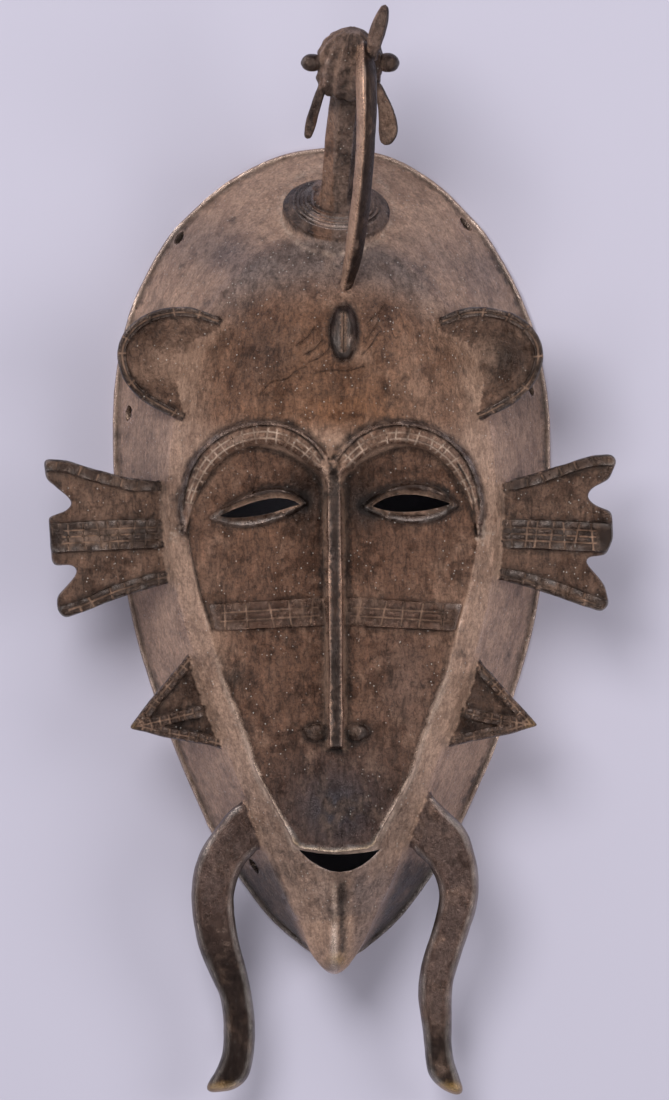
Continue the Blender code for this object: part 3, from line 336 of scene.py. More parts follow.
def counter_clockwise(ring):
    """The same outline, turned so that its inside lies to the left."""
    following = np.roll(ring, -1, axis=0)
    area = np.sum(ring[:, 0] * following[:, 1] - following[:, 0] * ring[:, 1])
    return ring if area > 0 else ring[::-1]


def mirrored_outline(half, spacing):
    """Closed outline, counter-clockwise, from half-widths along a leaning middle line."""
    right = spline([(knot[1], knot[0]) for knot in half], 8)
    left = right[::-1][1:-1] * (-1, 1)
    ring = np.vstack((right, left))
    ring[:, 0] += lean(ring[:, 1])
    return evenly(ring, spacing, closed=True)


def nearest(x, y, line, closed=False, reach=None):
    """Distance to a line, and how far along it, from 0 to 1, the nearest point lies.

    With a reach, points further off than that are left at a large distance.
    """
    best = np.full(x.shape, 1e3)
    place = np.zeros(x.shape)
    low, high = line.min(axis=0), line.max(axis=0)
    near = np.ones(x.shape, dtype=bool)
    if reach is not None:
        near = (x > low[0] - reach) & (x < high[0] + reach) & (y > low[1] - reach) & (y < high[1] + reach)
        if not near.any():
            return best, place
    px, py = x[near], y[near]
    away, along = np.full(px.shape, 1e3), np.zeros(px.shape)
    ends = np.roll(line, -1, axis=0) if closed else line[1:]
    starts = line if closed else line[:-1]
    lengths = np.linalg.norm(ends - starts, axis=1)
    before = np.concatenate(([0.0], np.cumsum(lengths)))
    for start, end, length, base in zip(starts, ends, lengths, before):
        run = end - start
        t = np.clip(((px - start[0]) * run[0] + (py - start[1]) * run[1]) / max(length, 1e-9) ** 2, 0, 1)
        gap = np.hypot(px - start[0] - t * run[0], py - start[1] - t * run[1])
        closer = gap < away
        away = np.where(closer, gap, away)
        along = np.where(closer, (base + t * length) / before[-1], along)
    best[near], place[near] = away, along
    return best, place


def depth_inside(x, y, ring, reach=None):
    """Distance to a closed outline, positive inside it."""
    inside = np.zeros(x.shape, dtype=bool)
    for start, end in zip(ring, np.roll(ring, -1, axis=0)):
        if start[1] == end[1]:
            continue
        crosses = (start[1] > y) != (end[1] > y)
        inside ^= crosses & (x < start[0] + (y - start[1]) * (end[0] - start[0]) / (end[1] - start[1]))
    distance, _ = nearest(x, y, ring, closed=True, reach=reach)
    return np.where(inside, distance, -distance)


def arc(corner, crest, other):
    """Points of a curve that leaves a corner, passes a crest and ends at the other corner."""
    middle = 2 * np.array(crest) - (np.array(corner) + np.array(other)) / 2
    t = np.linspace(0, 1, 9)[:, None]
    return (1 - t) ** 2 * np.array(corner) + 2 * t * (1 - t) * middle + t * t * np.array(other)


def almond(shape):
    """Closed outline from two corners, the crest above and the lowest point below."""
    first, second, above, below = shape
    return counter_clockwise(np.vstack((arc(first, above, second)[:-1], arc(second, below, first)[:-1])))


RIM = mirrored_outline(RIM_HALF, 1.8)
BLOCK = mirrored_outline(BLOCK_HALF, 2.0)
PANEL = mirrored_outline(PANEL_HALF, 1.6)


def bowl_height(x, y, wall):
    """The smooth bowl: rim lip, flank, face block. A wall above 0 gives its inside."""
    rim = depth_inside(x, y, RIM) - real(LIP_WIDTH) - INSIDE_RIM * wall
    block = depth_inside(x, y, BLOCK) - INSIDE_BLOCK * wall
    lip = real(LIP_HEIGHT) - INSIDE_LIP * wall
    edge = curve_value(EDGE_HEIGHT, y) * DEPTH - wall
    crown = curve_value(CROWN_HEIGHT, y) * DEPTH - wall
    run = curve_value(BLOCK_RUN, y)
    share = np.clip(rim, 0, None) / np.maximum(np.clip(rim, 0, None) + np.clip(-block, 0, None), 1e-6)
    flank = lip + (edge - lip) * share ** 0.86
    dome = edge + (crown - edge) * (1 - (1 - np.clip(block / run, 0, 1)) ** 1.9)
    return np.where(block > 0, dome, flank)


def panel_height(x, y):
    """The face below the brows: nearly flat, and hollowed beside the root of the nose."""
    side = x - lean(y)
    level = curve_value(PANEL_HEIGHT, y) * DEPTH - 0.0011 * side ** 2
    across = (np.abs(side) - SOCKET[0]) / SOCKET_REACH[0]
    along = (y - SOCKET[1]) / SOCKET_REACH[1]
    return level - SOCKET_DEPTH * DEPTH * np.exp(-across ** 2 - along ** 2)


def face_height(x, y, wall=0.0):
    """Bowl with the face panel let into it. A wall above 0 gives its inside."""
    bowl = bowl_height(x, y, wall)
    panel = panel_height(x, y) - wall
    soft = np.where(y > 4.0, 2.6, 0.7)
    inside = ramp(depth_inside(x, y, PANEL), -soft, 0.35 * soft)
    if wall > 0:
        panel = np.minimum(panel, bowl)
        inside = ramp(depth_inside(x, y, PANEL), -wall, 0.5)
    return bowl + (panel - bowl) * inside


def brow_line(side):
    """Middle line of one brow."""
    return spline(BROW_PATH, 6) * (side, 1) + (BROW_SHIFT, 0)


def keel_rise(x, y):
    """Ridge down the middle of the chin."""
    return real(KEEL_RISE) * bell(x, KEEL_X, 2.4) * ramp(-y, 106.5, 112.0)


def ring_around(centre, half, count):
    """Points on an ellipse around a centre."""
    angle = np.linspace(0, 2 * math.pi, count, endpoint=False)
    return np.stack((centre[0] + half[0] * np.cos(angle), centre[1] + half[1] * np.sin(angle)), axis=1)


def depth_line(ring, depth, spacing=None):
    """The outline moved inward by a depth, or outward where the depth is below 0."""
    run = np.roll(ring, -1, axis=0) - np.roll(ring, 1, axis=0)
    normal = np.stack((-run[:, 1], run[:, 0]), axis=1) / np.linalg.norm(run, axis=1)[:, None]
    moved = ring + normal * depth
    clear = np.abs(depth_inside(moved[:, 0], moved[:, 1], ring)) > abs(depth) * 0.97
    return evenly(moved[clear], spacing, closed=True) if spacing else moved[clear]


def beside(line, distance):
    """An open line moved sideways, to its left for a positive distance."""
    run = np.gradient(line, axis=0)
    normal = np.stack((-run[:, 1], run[:, 0]), axis=1) / np.linalg.norm(run, axis=1)[:, None]
    return line + normal * distance


def corners_kept(ring, longest):
    """An outline with extra points on its long sides and all its own corners."""
    out = []
    for start, end in zip(ring, np.roll(ring, -1, axis=0)):
        pieces = max(1, int(round(np.linalg.norm(end - start) / longest)))
        out += [start + (end - start) * k / pieces for k in range(pieces)]
    return np.array(out)


def plane(x, place):
    """Height of a limb's plate, which falls away from the middle line."""
    height, where, fall = place
    return height * DEPTH - fall * (np.abs(x) - where)


def on_bowl(place):
    """The point of the outer bowl at a place of the plan."""
    x, y = np.array([place[0]]), np.array([place[1]])
    return Vector((place[0], place[1], float(bowl_height(x, y, 0.0)[0])))


# Spacing of the visual mesh, its rounded edges and its incised lines, in the drawing's millimetres
SPACING = 0.95
UNDER_SPACING = 2.8
INSIDE_SPACING = 4.0
EDGE_ROUND = 0.9
LINE_CLEARANCE = 0.35
GROOVE_HALF = 0.4
GROOVE_DEPTH = 0.42

# Each face is marked with the piece that it comes from, and the cuts keep the marks
PIECES = ("body", "ear", "fin", "spike", "leg", "chin", "bird", "beak", "inside")
MARKS = [bpy.data.materials.new("mark_" + label) for label in PIECES]

# Hatching: seeds of its unevenness, and distance between its ticks
SEEDS = {"brow": 11, "cheek": 31, "ear": 51, "fin": 71, "spike": 91}
EAR_TICK_PITCH = 8.0
CHEEK_TICK_PITCH = 5.6
SPIKE_TICK_PITCH = 2.7
FIN_TICK_PITCHES = (6.0, 5.2, 4.2)

# Outer ridge of a brow beside its ticked band, half-widths of the bands along the limbs, half-height
# of a cheek band's hatching and how far an ear's dish slopes inside its band
BROW_RIDGE = 1.9
FIN_BAND_HALVES = (1.7, 2.0, 4.5)
SPIKE_BAND_HALF = 1.5
CHEEK_HATCH_HALF = 4.0
EAR_SLOPE = 11.0

# Spacing of points along outlines and along the carving's edges
OUTLINE_SPACING = 1.2
CARVING_SPACING = 1.0
EYE_SPACING = 0.9


def crowd_removed(points, taken, distance):
    """The points that keep a distance from all taken ones."""
    tree = kdtree.KDTree(len(taken))
    for i, place in enumerate(taken):
        tree.insert((*place, 0.0), i)
    tree.balance()
    return points[[tree.find((*place, 0.0))[2] > distance for place in points]]


def lattice(ring, spacing):
    """Points of a triangular lattice inside an outline."""
    low, high = ring.min(axis=0), ring.max(axis=0)
    x, y = np.meshgrid(np.arange(low[0], high[0], spacing), np.arange(low[1], high[1], spacing * 0.866))
    x[1::2] += spacing / 2
    points = np.stack((x.ravel(), y.ravel()), axis=1)
    return points[depth_inside(points[:, 0], points[:, 1], ring, reach=spacing) > spacing * 0.45]


def outer_faces(faces, count):
    """Rows of the triangles outside an outline whose points come first and run counter-clockwise."""
    border = {(i, (i + 1) % count) for i in range(count)}
    beyond = {(b, a) for a, b in border}
    rows = {int(k): tuple(map(int, faces[k])) for k in np.nonzero((faces < count).all(axis=1))[0]}
    found = []
    grown = True
    while grown:
        grown = False
        for k, (a, b, c) in list(rows.items()):
            if beyond & {(a, b), (b, c), (c, a)}:
                beyond |= {(b, a), (c, b), (a, c)} - border
                found.append(k)
                del rows[k]
                grown = True
    return found


def plan_mesh(ring, lines, spacing):
    """Triangles that fill an outline and keep the lines inside it as edges, its own points first."""
    edges = [(i, (i + 1) % len(ring)) for i in range(len(ring))]
    points = ring
    if lines:
        everything = np.vstack([line for line, _ in lines])
        inside = depth_inside(everything[:, 0], everything[:, 1], ring) > LINE_CLEARANCE
        names = np.cumsum(inside) - 1 + len(ring)
        start = 0
        for line, closed in lines:
            ends = [(start + i, start + (i + 1) % len(line)) for i in range(len(line) - (not closed))]
            edges += [(int(names[a]), int(names[b])) for a, b in ends if inside[a] and inside[b]]
            start += len(line)
        points = np.vstack((ring, everything[inside]))
    free = crowd_removed(lattice(ring, spacing), points, spacing * 0.55)
    points = np.vstack((points, free))
    result = geometry.delaunay_2d_cdt([Vector(p) for p in points], edges, [], 0, 1e-4, True)
    places = np.array([tuple(p) for p in result[0]])
    faces = np.array([tuple(face) for face in result[2]])
    out_of = np.full(len(points), -1)
    for name, origins in enumerate(result[3]):
        out_of[list(origins)] = name
    first = out_of[:len(ring)]
    order = np.concatenate((first, np.setdiff1d(np.arange(len(places)), first)))
    renamed = np.empty(len(places), dtype=int)
    renamed[order] = np.arange(len(places))
    places, faces = places[order], renamed[faces]
    a, b, c = (places[faces[:, k]] for k in range(3))
    turn = (b[:, 0] - a[:, 0]) * (c[:, 1] - a[:, 1]) - (b[:, 1] - a[:, 1]) * (c[:, 0] - a[:, 0])
    faces[turn < 0] = faces[turn < 0][:, ::-1]
    return places, np.delete(faces, outer_faces(faces, len(ring)), axis=0)


def as_object(name, points, faces, piece):
    """Blender object from points drawn in millimetres, with its faces marked by piece."""
    data = bpy.data.meshes.new(name)
    data.from_pydata((np.asarray(points) * SCALE * METRE).tolist(), [], [list(map(int, f)) for f in faces])
    for mark in MARKS:
        data.materials.append(mark)
    data.polygons.foreach_set("material_index", [PIECES.index(piece)] * len(faces))
    body = bpy.data.objects.new(name, data)
    bpy.context.scene.collection.objects.link(body)
    return body


def slab(piece, ring, top, bottom, lines=(), spacing=SPACING, under=UNDER_SPACING):
    """Closed body over an outline, between a top and a bottom surface."""
    upper, upper_faces = plan_mesh(ring, list(lines), spacing)
    lower, lower_faces = plan_mesh(ring, [], under)
    count = len(upper)
    high = np.column_stack((upper, top(upper[:, 0], upper[:, 1])))
    low = np.column_stack((lower, bottom(lower[:, 0], lower[:, 1])))
    i = np.arange(len(ring))
    j = (i + 1) % len(ring)
    walls = np.vstack((np.column_stack((i + count, j + count, j)), np.column_stack((i + count, j, i))))
    faces = np.vstack((upper_faces, lower_faces[:, ::-1] + count, walls))
    return as_object(piece, np.vstack((high, low)), faces, piece)


def soft_ring(points, spacing, rounds=3, pieces=0):
    """Closed outline at even spacing with its corners eased."""
    points = np.array(points, dtype=float)
    if pieces:
        points = spline(points, pieces, closed=True)
    ring = evenly(counter_clockwise(points), spacing, closed=True)
    for _ in range(rounds):
        ring = ring * 0.5 + (np.roll(ring, 1, axis=0) + np.roll(ring, -1, axis=0)) * 0.25
    return ring


def edge_drop(depth, radius):
    """How far a surface falls towards a rounded edge, at a depth inside its outline."""
    return radius * (1 - np.sqrt(1 - (1 - np.clip(depth / radius, 0, 1)) ** 2))


def rounding(x, y, ring):
    """How far a limb's surface falls at its rounded outline."""
    return edge_drop(depth_inside(x, y, ring, reach=2.0), EDGE_ROUND)


def edge_lines(ring, radius):
    """Lines that carry the rounding of an edge."""
    return [(depth_line(ring, max(radius * share, LINE_CLEARANCE + 0.02), SPACING), True)
            for share in (0.3, 0.65, 1.1)]


def groove_lines(grooves):
    """Mesh lines along each incised line: its bottom and both its edges."""
    return [(beside(line, side * GROOVE_HALF) if side else line, False)
            for line in grooves for side in (0, -1, 1)]


def incised(x, y, grooves, half=GROOVE_HALF):
    """1 at the bottom of the incised lines, falling to 0 at their edges."""
    cut = np.zeros(x.shape)
    for line in grooves:
        away, _ = nearest(x, y, line, reach=half)
        cut = np.maximum(cut, 1 - np.clip(away / half, 0, 1) ** 2)
    return cut


def hatching(line, half, pitch, threads, seed, ends=(0.03, 0.97), fill=0.8):
    """Incised lines of a band: threads along it, at shares of its half-width, and uneven ticks."""
    chance = np.random.default_rng(seed)
    line = evenly(np.array(line, dtype=float), 1.0)
    run = np.gradient(line, axis=0)
    run /= np.linalg.norm(run, axis=1)[:, None]
    normal = np.stack((-run[:, 1], run[:, 0]), axis=1)
    half = np.interp(np.linspace(0, 1, len(line)), np.linspace(0, 1, np.size(half)), np.ravel(half))
    last = len(line) - 1
    count = max(1, int(last * (ends[1] - ends[0]) / pitch))
    uneven = chance.uniform(-0.24, 0.24, count)
    marks = ends[0] + (ends[1] - ends[0]) * (np.arange(count) + 0.5 + uneven) / count
    grooves = []
    for mark in marks:
        i = int(round(mark * last))
        across = np.linspace(-fill, fill, 5)[:, None] * half[i]
        grooves.append(line[i] + across * (normal[i] + chance.uniform(-0.2, 0.2) * run[i]))
    first, final = int(ends[0] * last), int(ends[1] * last) + 1
    grooves += [(line + normal * (half * share)[:, None])[first:final] for share in threads]
    return grooves


def brow_parts(side):
    """Line of one brow, its half-width along it and the middle line of its ticked band."""
    line = evenly(brow_line(side), 1.0)
    half = curve_value(BROW_HALF_WIDTH, np.linspace(0, 1, len(line)))[:, None]
    return line, half, beside(line, side * -BROW_RIDGE / 2)


def cheek_band(side):
    """Outline of one cheek band."""
    return counter_clockwise(beside_nose(np.array(CHEEK_BAND) * (side, 1)))


def limb_bands(side):
    """Middle line, half-width, tick pitch and threads of each band of a fin and of a spike."""
    fins, spikes = np.array(FINS[side]), np.array(SPIKES[side])
    middle = np.array([(side * 44.0, 4.4), (side * 60.0, 4.0), (side * 76.0, 3.4), (side * 88.0, 2.8)])
    upper_half, lower_half, _ = FIN_BAND_HALVES
    lines = (beside(fins[:5], -side * upper_half), beside(fins[-5:], -side * lower_half), middle)
    fin = list(zip(lines, FIN_BAND_HALVES, FIN_TICK_PITCHES, ((), (0.1,), (-0.45, 0.0, 0.45))))
    lower = np.vstack((spikes[0], spikes[:5:-1]))
    core = np.array([spikes[0], (side * 50.0, -55.0), (side * 34.0, -51.0)])
    lines = (beside(spikes[:4], side * SPIKE_BAND_HALF), beside(lower, -side * SPIKE_BAND_HALF), core)
    return fin, [(line, SPIKE_BAND_HALF, SPIKE_TICK_PITCH, (0.0,)) for line in lines]


def band_marks(bands, seed):
    """The bands' incised lines, and the mesh lines along their edges."""
    grooves = []
    for k, (line, half, pitch, threads) in enumerate(bands):
        grooves += hatching(line, half, pitch, threads, seed + k, ends=(0.08, 0.95))
    edges = [(beside(evenly(line, 1.0), way * (half + more)), False)
             for line, half, _, _ in bands for more in (0.0, SOFT_STEP) for way in SIDES]
    return grooves, edges


def ear_hatching(side):
    """Incised lines of an ear's raised band."""
    half = real(EAR_BAND_WIDTH) / 2
    return hatching(beside(EAR_EDGES[side], -side * half), half - 0.2, EAR_TICK_PITCH, (0.0,),
                    SEEDS["ear"] + side)


# Bands, edges and incised lines of both sides
BROWS = {side: brow_parts(side) for side in SIDES}
CHEEKS = {side: cheek_band(side) for side in SIDES}
BANDS = {side: limb_bands(side) for side in SIDES}
EAR_EDGES = {side: evenly(spline(EAR, 6), 1.0) * (side, 1) for side in SIDES}
EAR_GROOVES = {side: ear_hatching(side) for side in SIDES}
FIN_MARKS = {side: band_marks(BANDS[side][0], SEEDS["fin"] + 5 * side) for side in SIDES}
SPIKE_MARKS = {side: band_marks(BANDS[side][1], SEEDS["spike"] + 5 * side) for side in SIDES}
LIMB_GROOVES = [line for side in SIDES
                for line in FIN_MARKS[side][0] + SPIKE_MARKS[side][0] + EAR_GROOVES[side]]

# Single incised lines of the face: wrinkles round the boss, cracks and the creases beside the brows
FACE_LINES = [[(-22.6, 48.6), (-19.0, 52.4), (-14.0, 53.6), (-10.2, 56.6), (-7.6, 57.4)],
              [(-8.0, 61.5), (-5.2, 63.0), (-2.4, 66.2)],
              [(-10.5, 64.6), (-7.6, 66.6), (-5.4, 69.6)],
              [(-7.0, 58.8), (-3.4, 60.4), (-0.6, 63.0)],
              [(10.2, 61.4), (13.0, 64.2), (15.0, 67.6)],
              [(11.0, 66.0), (13.6, 69.0), (15.6, 72.6)],
              [(12.0, 71.6), (15.0, 74.4), (17.4, 77.6)],
              [(-5.0, 55.4), (0.0, 56.4), (5.5, 56.2), (10.5, 57.6)],
              [(40.7, 26.3), (43.2, 22.2), (45.2, 17.6), (46.0, 12.5), (46.6, 3.8)]]


def face_grooves():
    """The hatching of the brows and the cheek bands."""
    grooves = []
    corners = np.array(CHEEK_BAND)
    start, end = (corners[0] + corners[3]) / 2, (corners[1] + corners[2]) / 2
    for side in SIDES:
        _, half, band = BROWS[side]
        grooves += hatching(band, half - BROW_RIDGE / 2 - 0.1, BROW_TICK_PITCH, (-0.4, 0.3),
                            SEEDS["brow"] + side, ends=(0.04, 0.86))
        middle = beside_nose(np.linspace(start + (1.2, 0), end - (1.0, 0), 40) * (side, 1))
        grooves += hatching(middle, CHEEK_HATCH_HALF, CHEEK_TICK_PITCH, (-0.34, 0.34),
                            SEEDS["cheek"] + side, fill=0.88)
    return grooves


def face_creases():
    """The dark lines of the face: wrinkles, cracks, the boss's slit and the creases of the brows."""
    creases = [evenly(spline(line, 5), 0.9) for line in FACE_LINES]
    creases += [beside(line, side * (half - BROW_RIDGE))[2:-8] for side, (line, half, _) in BROWS.items()]
    creases.append(np.array([(BOSS[0], BOSS[1] + step) for step in np.linspace(-5.6, 5.6, 12)]))
    return creases


FACE_GROOVES = face_grooves()
FACE_CREASES = face_creases()


def fine_brows(x, y):
    """Raised brows: a smooth outer ridge beside a slightly crowned band."""
    rise = np.zeros(x.shape)
    for side, (line, half, _) in BROWS.items():
        away, place = nearest(x, y, line, reach=6.0)
        width = curve_value(BROW_HALF_WIDTH, place)
        body = (1 - ramp(away, width - 0.35, width + 0.25)) * (1 - 0.2 * np.clip(away / width, 0, 1) ** 2)
        ridge, _ = nearest(x, y, beside(line, side * (half - BROW_RIDGE / 2 - 0.1)), reach=3.0)
        rise = np.maximum(rise, real(BROW_RISE) * body + 0.6 * bell(ridge, 0.0, 0.7) * body)
    return rise


def fine_lids(x, y):
    """Raised lids with a rolled upper edge, bevelled down towards the slit."""
    rise = np.zeros(x.shape)
    for side, lids in EYE_LIDS.items():
        depth = depth_inside(x, y, evenly(almond(lids), 1.0, True), reach=3.0)
        slit = -depth_inside(x, y, evenly(almond(EYE_SLITS[side]), 1.0, True), reach=4.0)
        middle = (lids[0][1] + lids[1][1]) / 2
        lid = real(LID_RISE) * ramp(depth, -0.5, 0.6)
        upper = ramp(y, middle - 0.5, middle + 1.5)
        lid += 0.8 * upper * bell(depth, 0.9, 0.7)
        lid -= 1.9 * (1 - ramp(slit, 0.1, 1.9)) * (depth > 0)
        rise = np.where(depth > -0.5, lid, rise)
    return rise


def carved_height(x, y):
    """The whole outer face with its fine carving."""
    side = off_nose(x, y)
    height = face_height(x, y) + fine_brows(x, y) + fine_lids(x, y)
    for ring in CHEEKS.values():
        height = height + real(CHEEK_BAND_RISE) * ramp(depth_inside(x, y, ring, reach=2.0), -0.35, 0.15)
    panel = depth_inside(x, y, PANEL, reach=6.0)
    lip = ramp(panel, -0.3, 0.5) * (1 - ramp(panel, 1.6, 3.0)) * (1 - ramp(y, -95.5, -91.5))
    height = height + real(MOUTH_LIP_RISE) * lip
    height = height + real(NOSTRIL_RISE) * dome(oval(side, y, NOSTRIL, NOSTRIL_HALF))
    ridge = curve_value(PANEL_HEIGHT, y) * DEPTH + real(NOSE_RISE) * curve_value(NOSE_SHARE, y)
    across = ramp(side, real(NOSE_TOP_WIDTH) / 2, real(NOSE_FOOT_WIDTH) / 2)
    ends = ramp(y, NOSE_TIP - 0.8, NOSE_TIP + 0.2) * (1 - ramp(y, NOSE_TOP - 2, NOSE_TOP + 2))
    height = np.maximum(height, height + (ridge - height) * (1 - across) * ends)
    height = height + real(BOSS_RISE) * dome(oval(x, y, BOSS, BOSS_HALF))
    slit = bell(x, BOSS[0], 0.8) * (1 - ramp(np.abs(y - BOSS[1]), 4.8, 6.6))
    height = height - real(BOSS_SLIT_DEPTH) * slit - GROOVE_DEPTH * incised(x, y, FACE_GROOVES + FACE_CREASES)
    return height + keel_rise(x, y)


def body():
    """The bowl as a full body down to the rim plane, with all its carving on top."""
    ring = evenly(RIM, OUTLINE_SPACING, closed=True)
    lines = [(evenly(BLOCK, OUTLINE_SPACING, True), True)]
    lines += [(depth_line(RIM, depth, OUTLINE_SPACING), True) for depth in (real(LIP_WIDTH), 0.6)]
    lines += [(depth_line(PANEL, depth, CARVING_SPACING), True) for depth in (-0.7, -0.2, 0.35)]
    for side in SIDES:
        line, half, _ = BROWS[side]
        lines += [(beside(line, way * (half + more)), False) for way in SIDES for more in (-0.35, 0.25)]
        band = corners_kept(CHEEKS[side], CARVING_SPACING)
        lines += [(depth_line(band, depth), True) for depth in (-0.35, 0.15)]
        for shape, depths in ((EYE_LIDS, (-0.5, 0.6)), (EYE_SLITS, (-1.9, -0.1))):
            outline = evenly(almond(shape[side]), EYE_SPACING, closed=True)
            lines += [(depth_line(outline, depth, EYE_SPACING), True) for depth in depths]
        flare = (lean(NOSTRIL[1]) + NOSE_SHIFT + side * NOSTRIL[0], NOSTRIL[1])
        lines += [(ring_around(flare, (NOSTRIL_HALF[0] * share, NOSTRIL_HALF[1] * share), 26), True)
                  for share in (0.99, 0.8)]
    for width, low, high in ((NOSE_TOP_WIDTH, 0.3, -2.0), (NOSE_FOOT_WIDTH, -0.9, 2.0)):
        half, foot, head = real(width) / 2, NOSE_TIP + low, NOSE_TOP + high
        nose = np.array([(-half, foot), (half, foot), (half, head), (-half, head)])
        lines.append((beside_nose(corners_kept(nose, CARVING_SPACING)), True))
    lines += [(ring_around(BOSS, (BOSS_HALF[0] * share, BOSS_HALF[1] * share), 36), True)
              for share in (0.99, 0.9)]
    lines += groove_lines(FACE_GROOVES + FACE_CREASES)

    def top(x, y):
        rim = depth_inside(x, y, ring, reach=3.0)
        lip = real(LIP_HEIGHT) - 0.5 * edge_drop(rim, 1.0)
        return np.where(rim < real(LIP_WIDTH) * 0.9, lip, carved_height(x, y))

    return slab("body", ring, top, lambda x, y: np.zeros(x.shape), lines)


def inside():
    """The hollow of the bowl, run down past the rim plane."""
    wall = real(WALL)
    ring = depth_line(RIM, real(LIP_WIDTH) + INSIDE_RIM * wall, 2.4)

    def top(x, y):
        height = face_height(x, y, wall)
        return np.where(depth_inside(x, y, ring) < 0.05, real(LIP_HEIGHT) - INSIDE_LIP * wall, height)

    return slab("inside", ring, top, lambda x, y: np.full(x.shape, CUT_FLOOR),
                spacing=INSIDE_SPACING, under=INSIDE_SPACING * 4)


def prism(outline):
    """Upright cutter right through the mask."""
    return slab("inside", evenly(outline, 0.8, closed=True), lambda x, y: np.full(x.shape, CUT_TOP),
                lambda x, y: np.full(x.shape, CUT_FLOOR), spacing=6.0, under=6.0)


def ear(side):
    """A dish with a raised band around its free edge, open towards the front."""
    edge = EAR_EDGES[side]
    ring = soft_ring(edge, 0.9, rounds=1)
    width = real(EAR_BAND_WIDTH)
    floor = width + EAR_SLOPE
    grooves = EAR_GROOVES[side]

    def top(x, y):
        away, _ = nearest(x, y, edge)
        sink = real(EAR_BOWL_DEPTH) * ramp(away, width - 0.4, floor)
        band = real(EAR_BAND_RISE) * (1 - ramp(away, width - SOFT_STEP, width)) - edge_drop(away, EDGE_ROUND)
        return plane(x, EAR_PLANE) - sink + band - GROOVE_DEPTH * incised(x, y, grooves)

    def bottom(x, y):
        away, _ = nearest(x, y, edge)
        level = plane(x, EAR_PLANE) - real(EAR_THICKNESS) + edge_drop(away, EDGE_ROUND)
        return level - real(EAR_BOWL_DEPTH) * ramp(away, 0.0, floor)

    lines = [(beside(edge, -side * (width + more)), False) for more in (-SOFT_STEP, 0.0)]
    lines += [(beside(edge, -side * depth)[2:-2], False) for depth in (0.4, 0.9)] + groove_lines(grooves)
    return slab("ear", ring, top, bottom, lines)


def banded(x, y, bands):
    """1 on the bands, with a short slope to 0 beside them."""
    return np.max([1 - ramp(nearest(x, y, line, reach=half + 2)[0], half, half + SOFT_STEP)
                   for line, half, _, _ in bands], axis=0)


def barred_limb(label, ring, bands, marks, level, thickness, rise):
    """A plate with raised, hatched bands: its top follows level, and its underside the top."""
    grooves, edges = marks

    def top(x, y):
        band = rise * banded(x, y, bands)
        return level(x, y) + band - rounding(x, y, ring) - GROOVE_DEPTH * incised(x, y, grooves)

    def bottom(x, y):
        return level(x, y) - thickness(x, y) + rounding(x, y, ring)

    return slab(label, ring, top, bottom, edges + edge_lines(ring, EDGE_ROUND) + groove_lines(grooves))


def fin(side):
    """A flat plate with three prongs, and a raised band along each edge and the middle."""
    return barred_limb("fin", soft_ring(FINS[side], 0.9), BANDS[side][0], FIN_MARKS[side],
                       lambda x, y: plane(x, FIN_PLANE), lambda x, y: real(FIN_THICKNESS),
                       real(FIN_BAND_RISE))


def spike(side):
    """A pointed horn with raised bands along both edges and down its middle."""
    tip = SPIKES[side][0]

    def level(x, y):
        return SPIKE_TIP_HEIGHT * DEPTH + SPIKE_SLOPE * np.hypot(x - tip[0], y - tip[1])

    def thickness(x, y):
        return real(SPIKE_THICKNESS) * ramp(np.hypot(x - tip[0], y - tip[1]), *SPIKE_RUN)

    return barred_limb("spike", soft_ring(SPIKES[side], 0.8, rounds=2), BANDS[side][1], SPIKE_MARKS[side],
                       level, thickness, real(SPIKE_BAND_RISE))


def leg(side):
    """A flat strap with rounded edges that curves down beside the chin."""
    ring = soft_ring(LEGS[side], 1.0, rounds=1, pieces=5)
    half = real(LEG_THICKNESS) / 2

    def top(x, y):
        depth = np.clip(depth_inside(x, y, ring, reach=4.0) / LEG_EDGE_ROUND, 0, 1)
        return curve_value(LEG_HEIGHT, y) * DEPTH + half * (0.15 + 0.85 * np.sqrt(1 - (1 - depth) ** 2))

    def bottom(x, y):
        return curve_value(LEG_HEIGHT, y) * DEPTH - half + rounding(x, y, ring)

    return slab("leg", ring, top, bottom, edge_lines(ring, LEG_EDGE_ROUND), spacing=1.2)


def chin():
    """The pointed chin that stands out past the rim, with a keel down its middle."""
    ring = soft_ring(spline(CHIN, 4), 0.9, rounds=1)

    def level(x, y):
        share = np.clip(depth_inside(x, y, ring) / curve_value(CHIN_HALF, y), 0, 1)
        return curve_value(CHIN_HEIGHT, y) * DEPTH - CHIN_FALL * (1 - share) ** 2

    def top(x, y):
        return level(x, y) + keel_rise(x, y)

    def bottom(x, y):
        return level(x, y) - real(CHIN_THICKNESS) * (0.35 + 0.65 * ramp(y, -138.0, -126.0))

    return slab("chin", ring, top, bottom, edge_lines(ring, EDGE_ROUND))


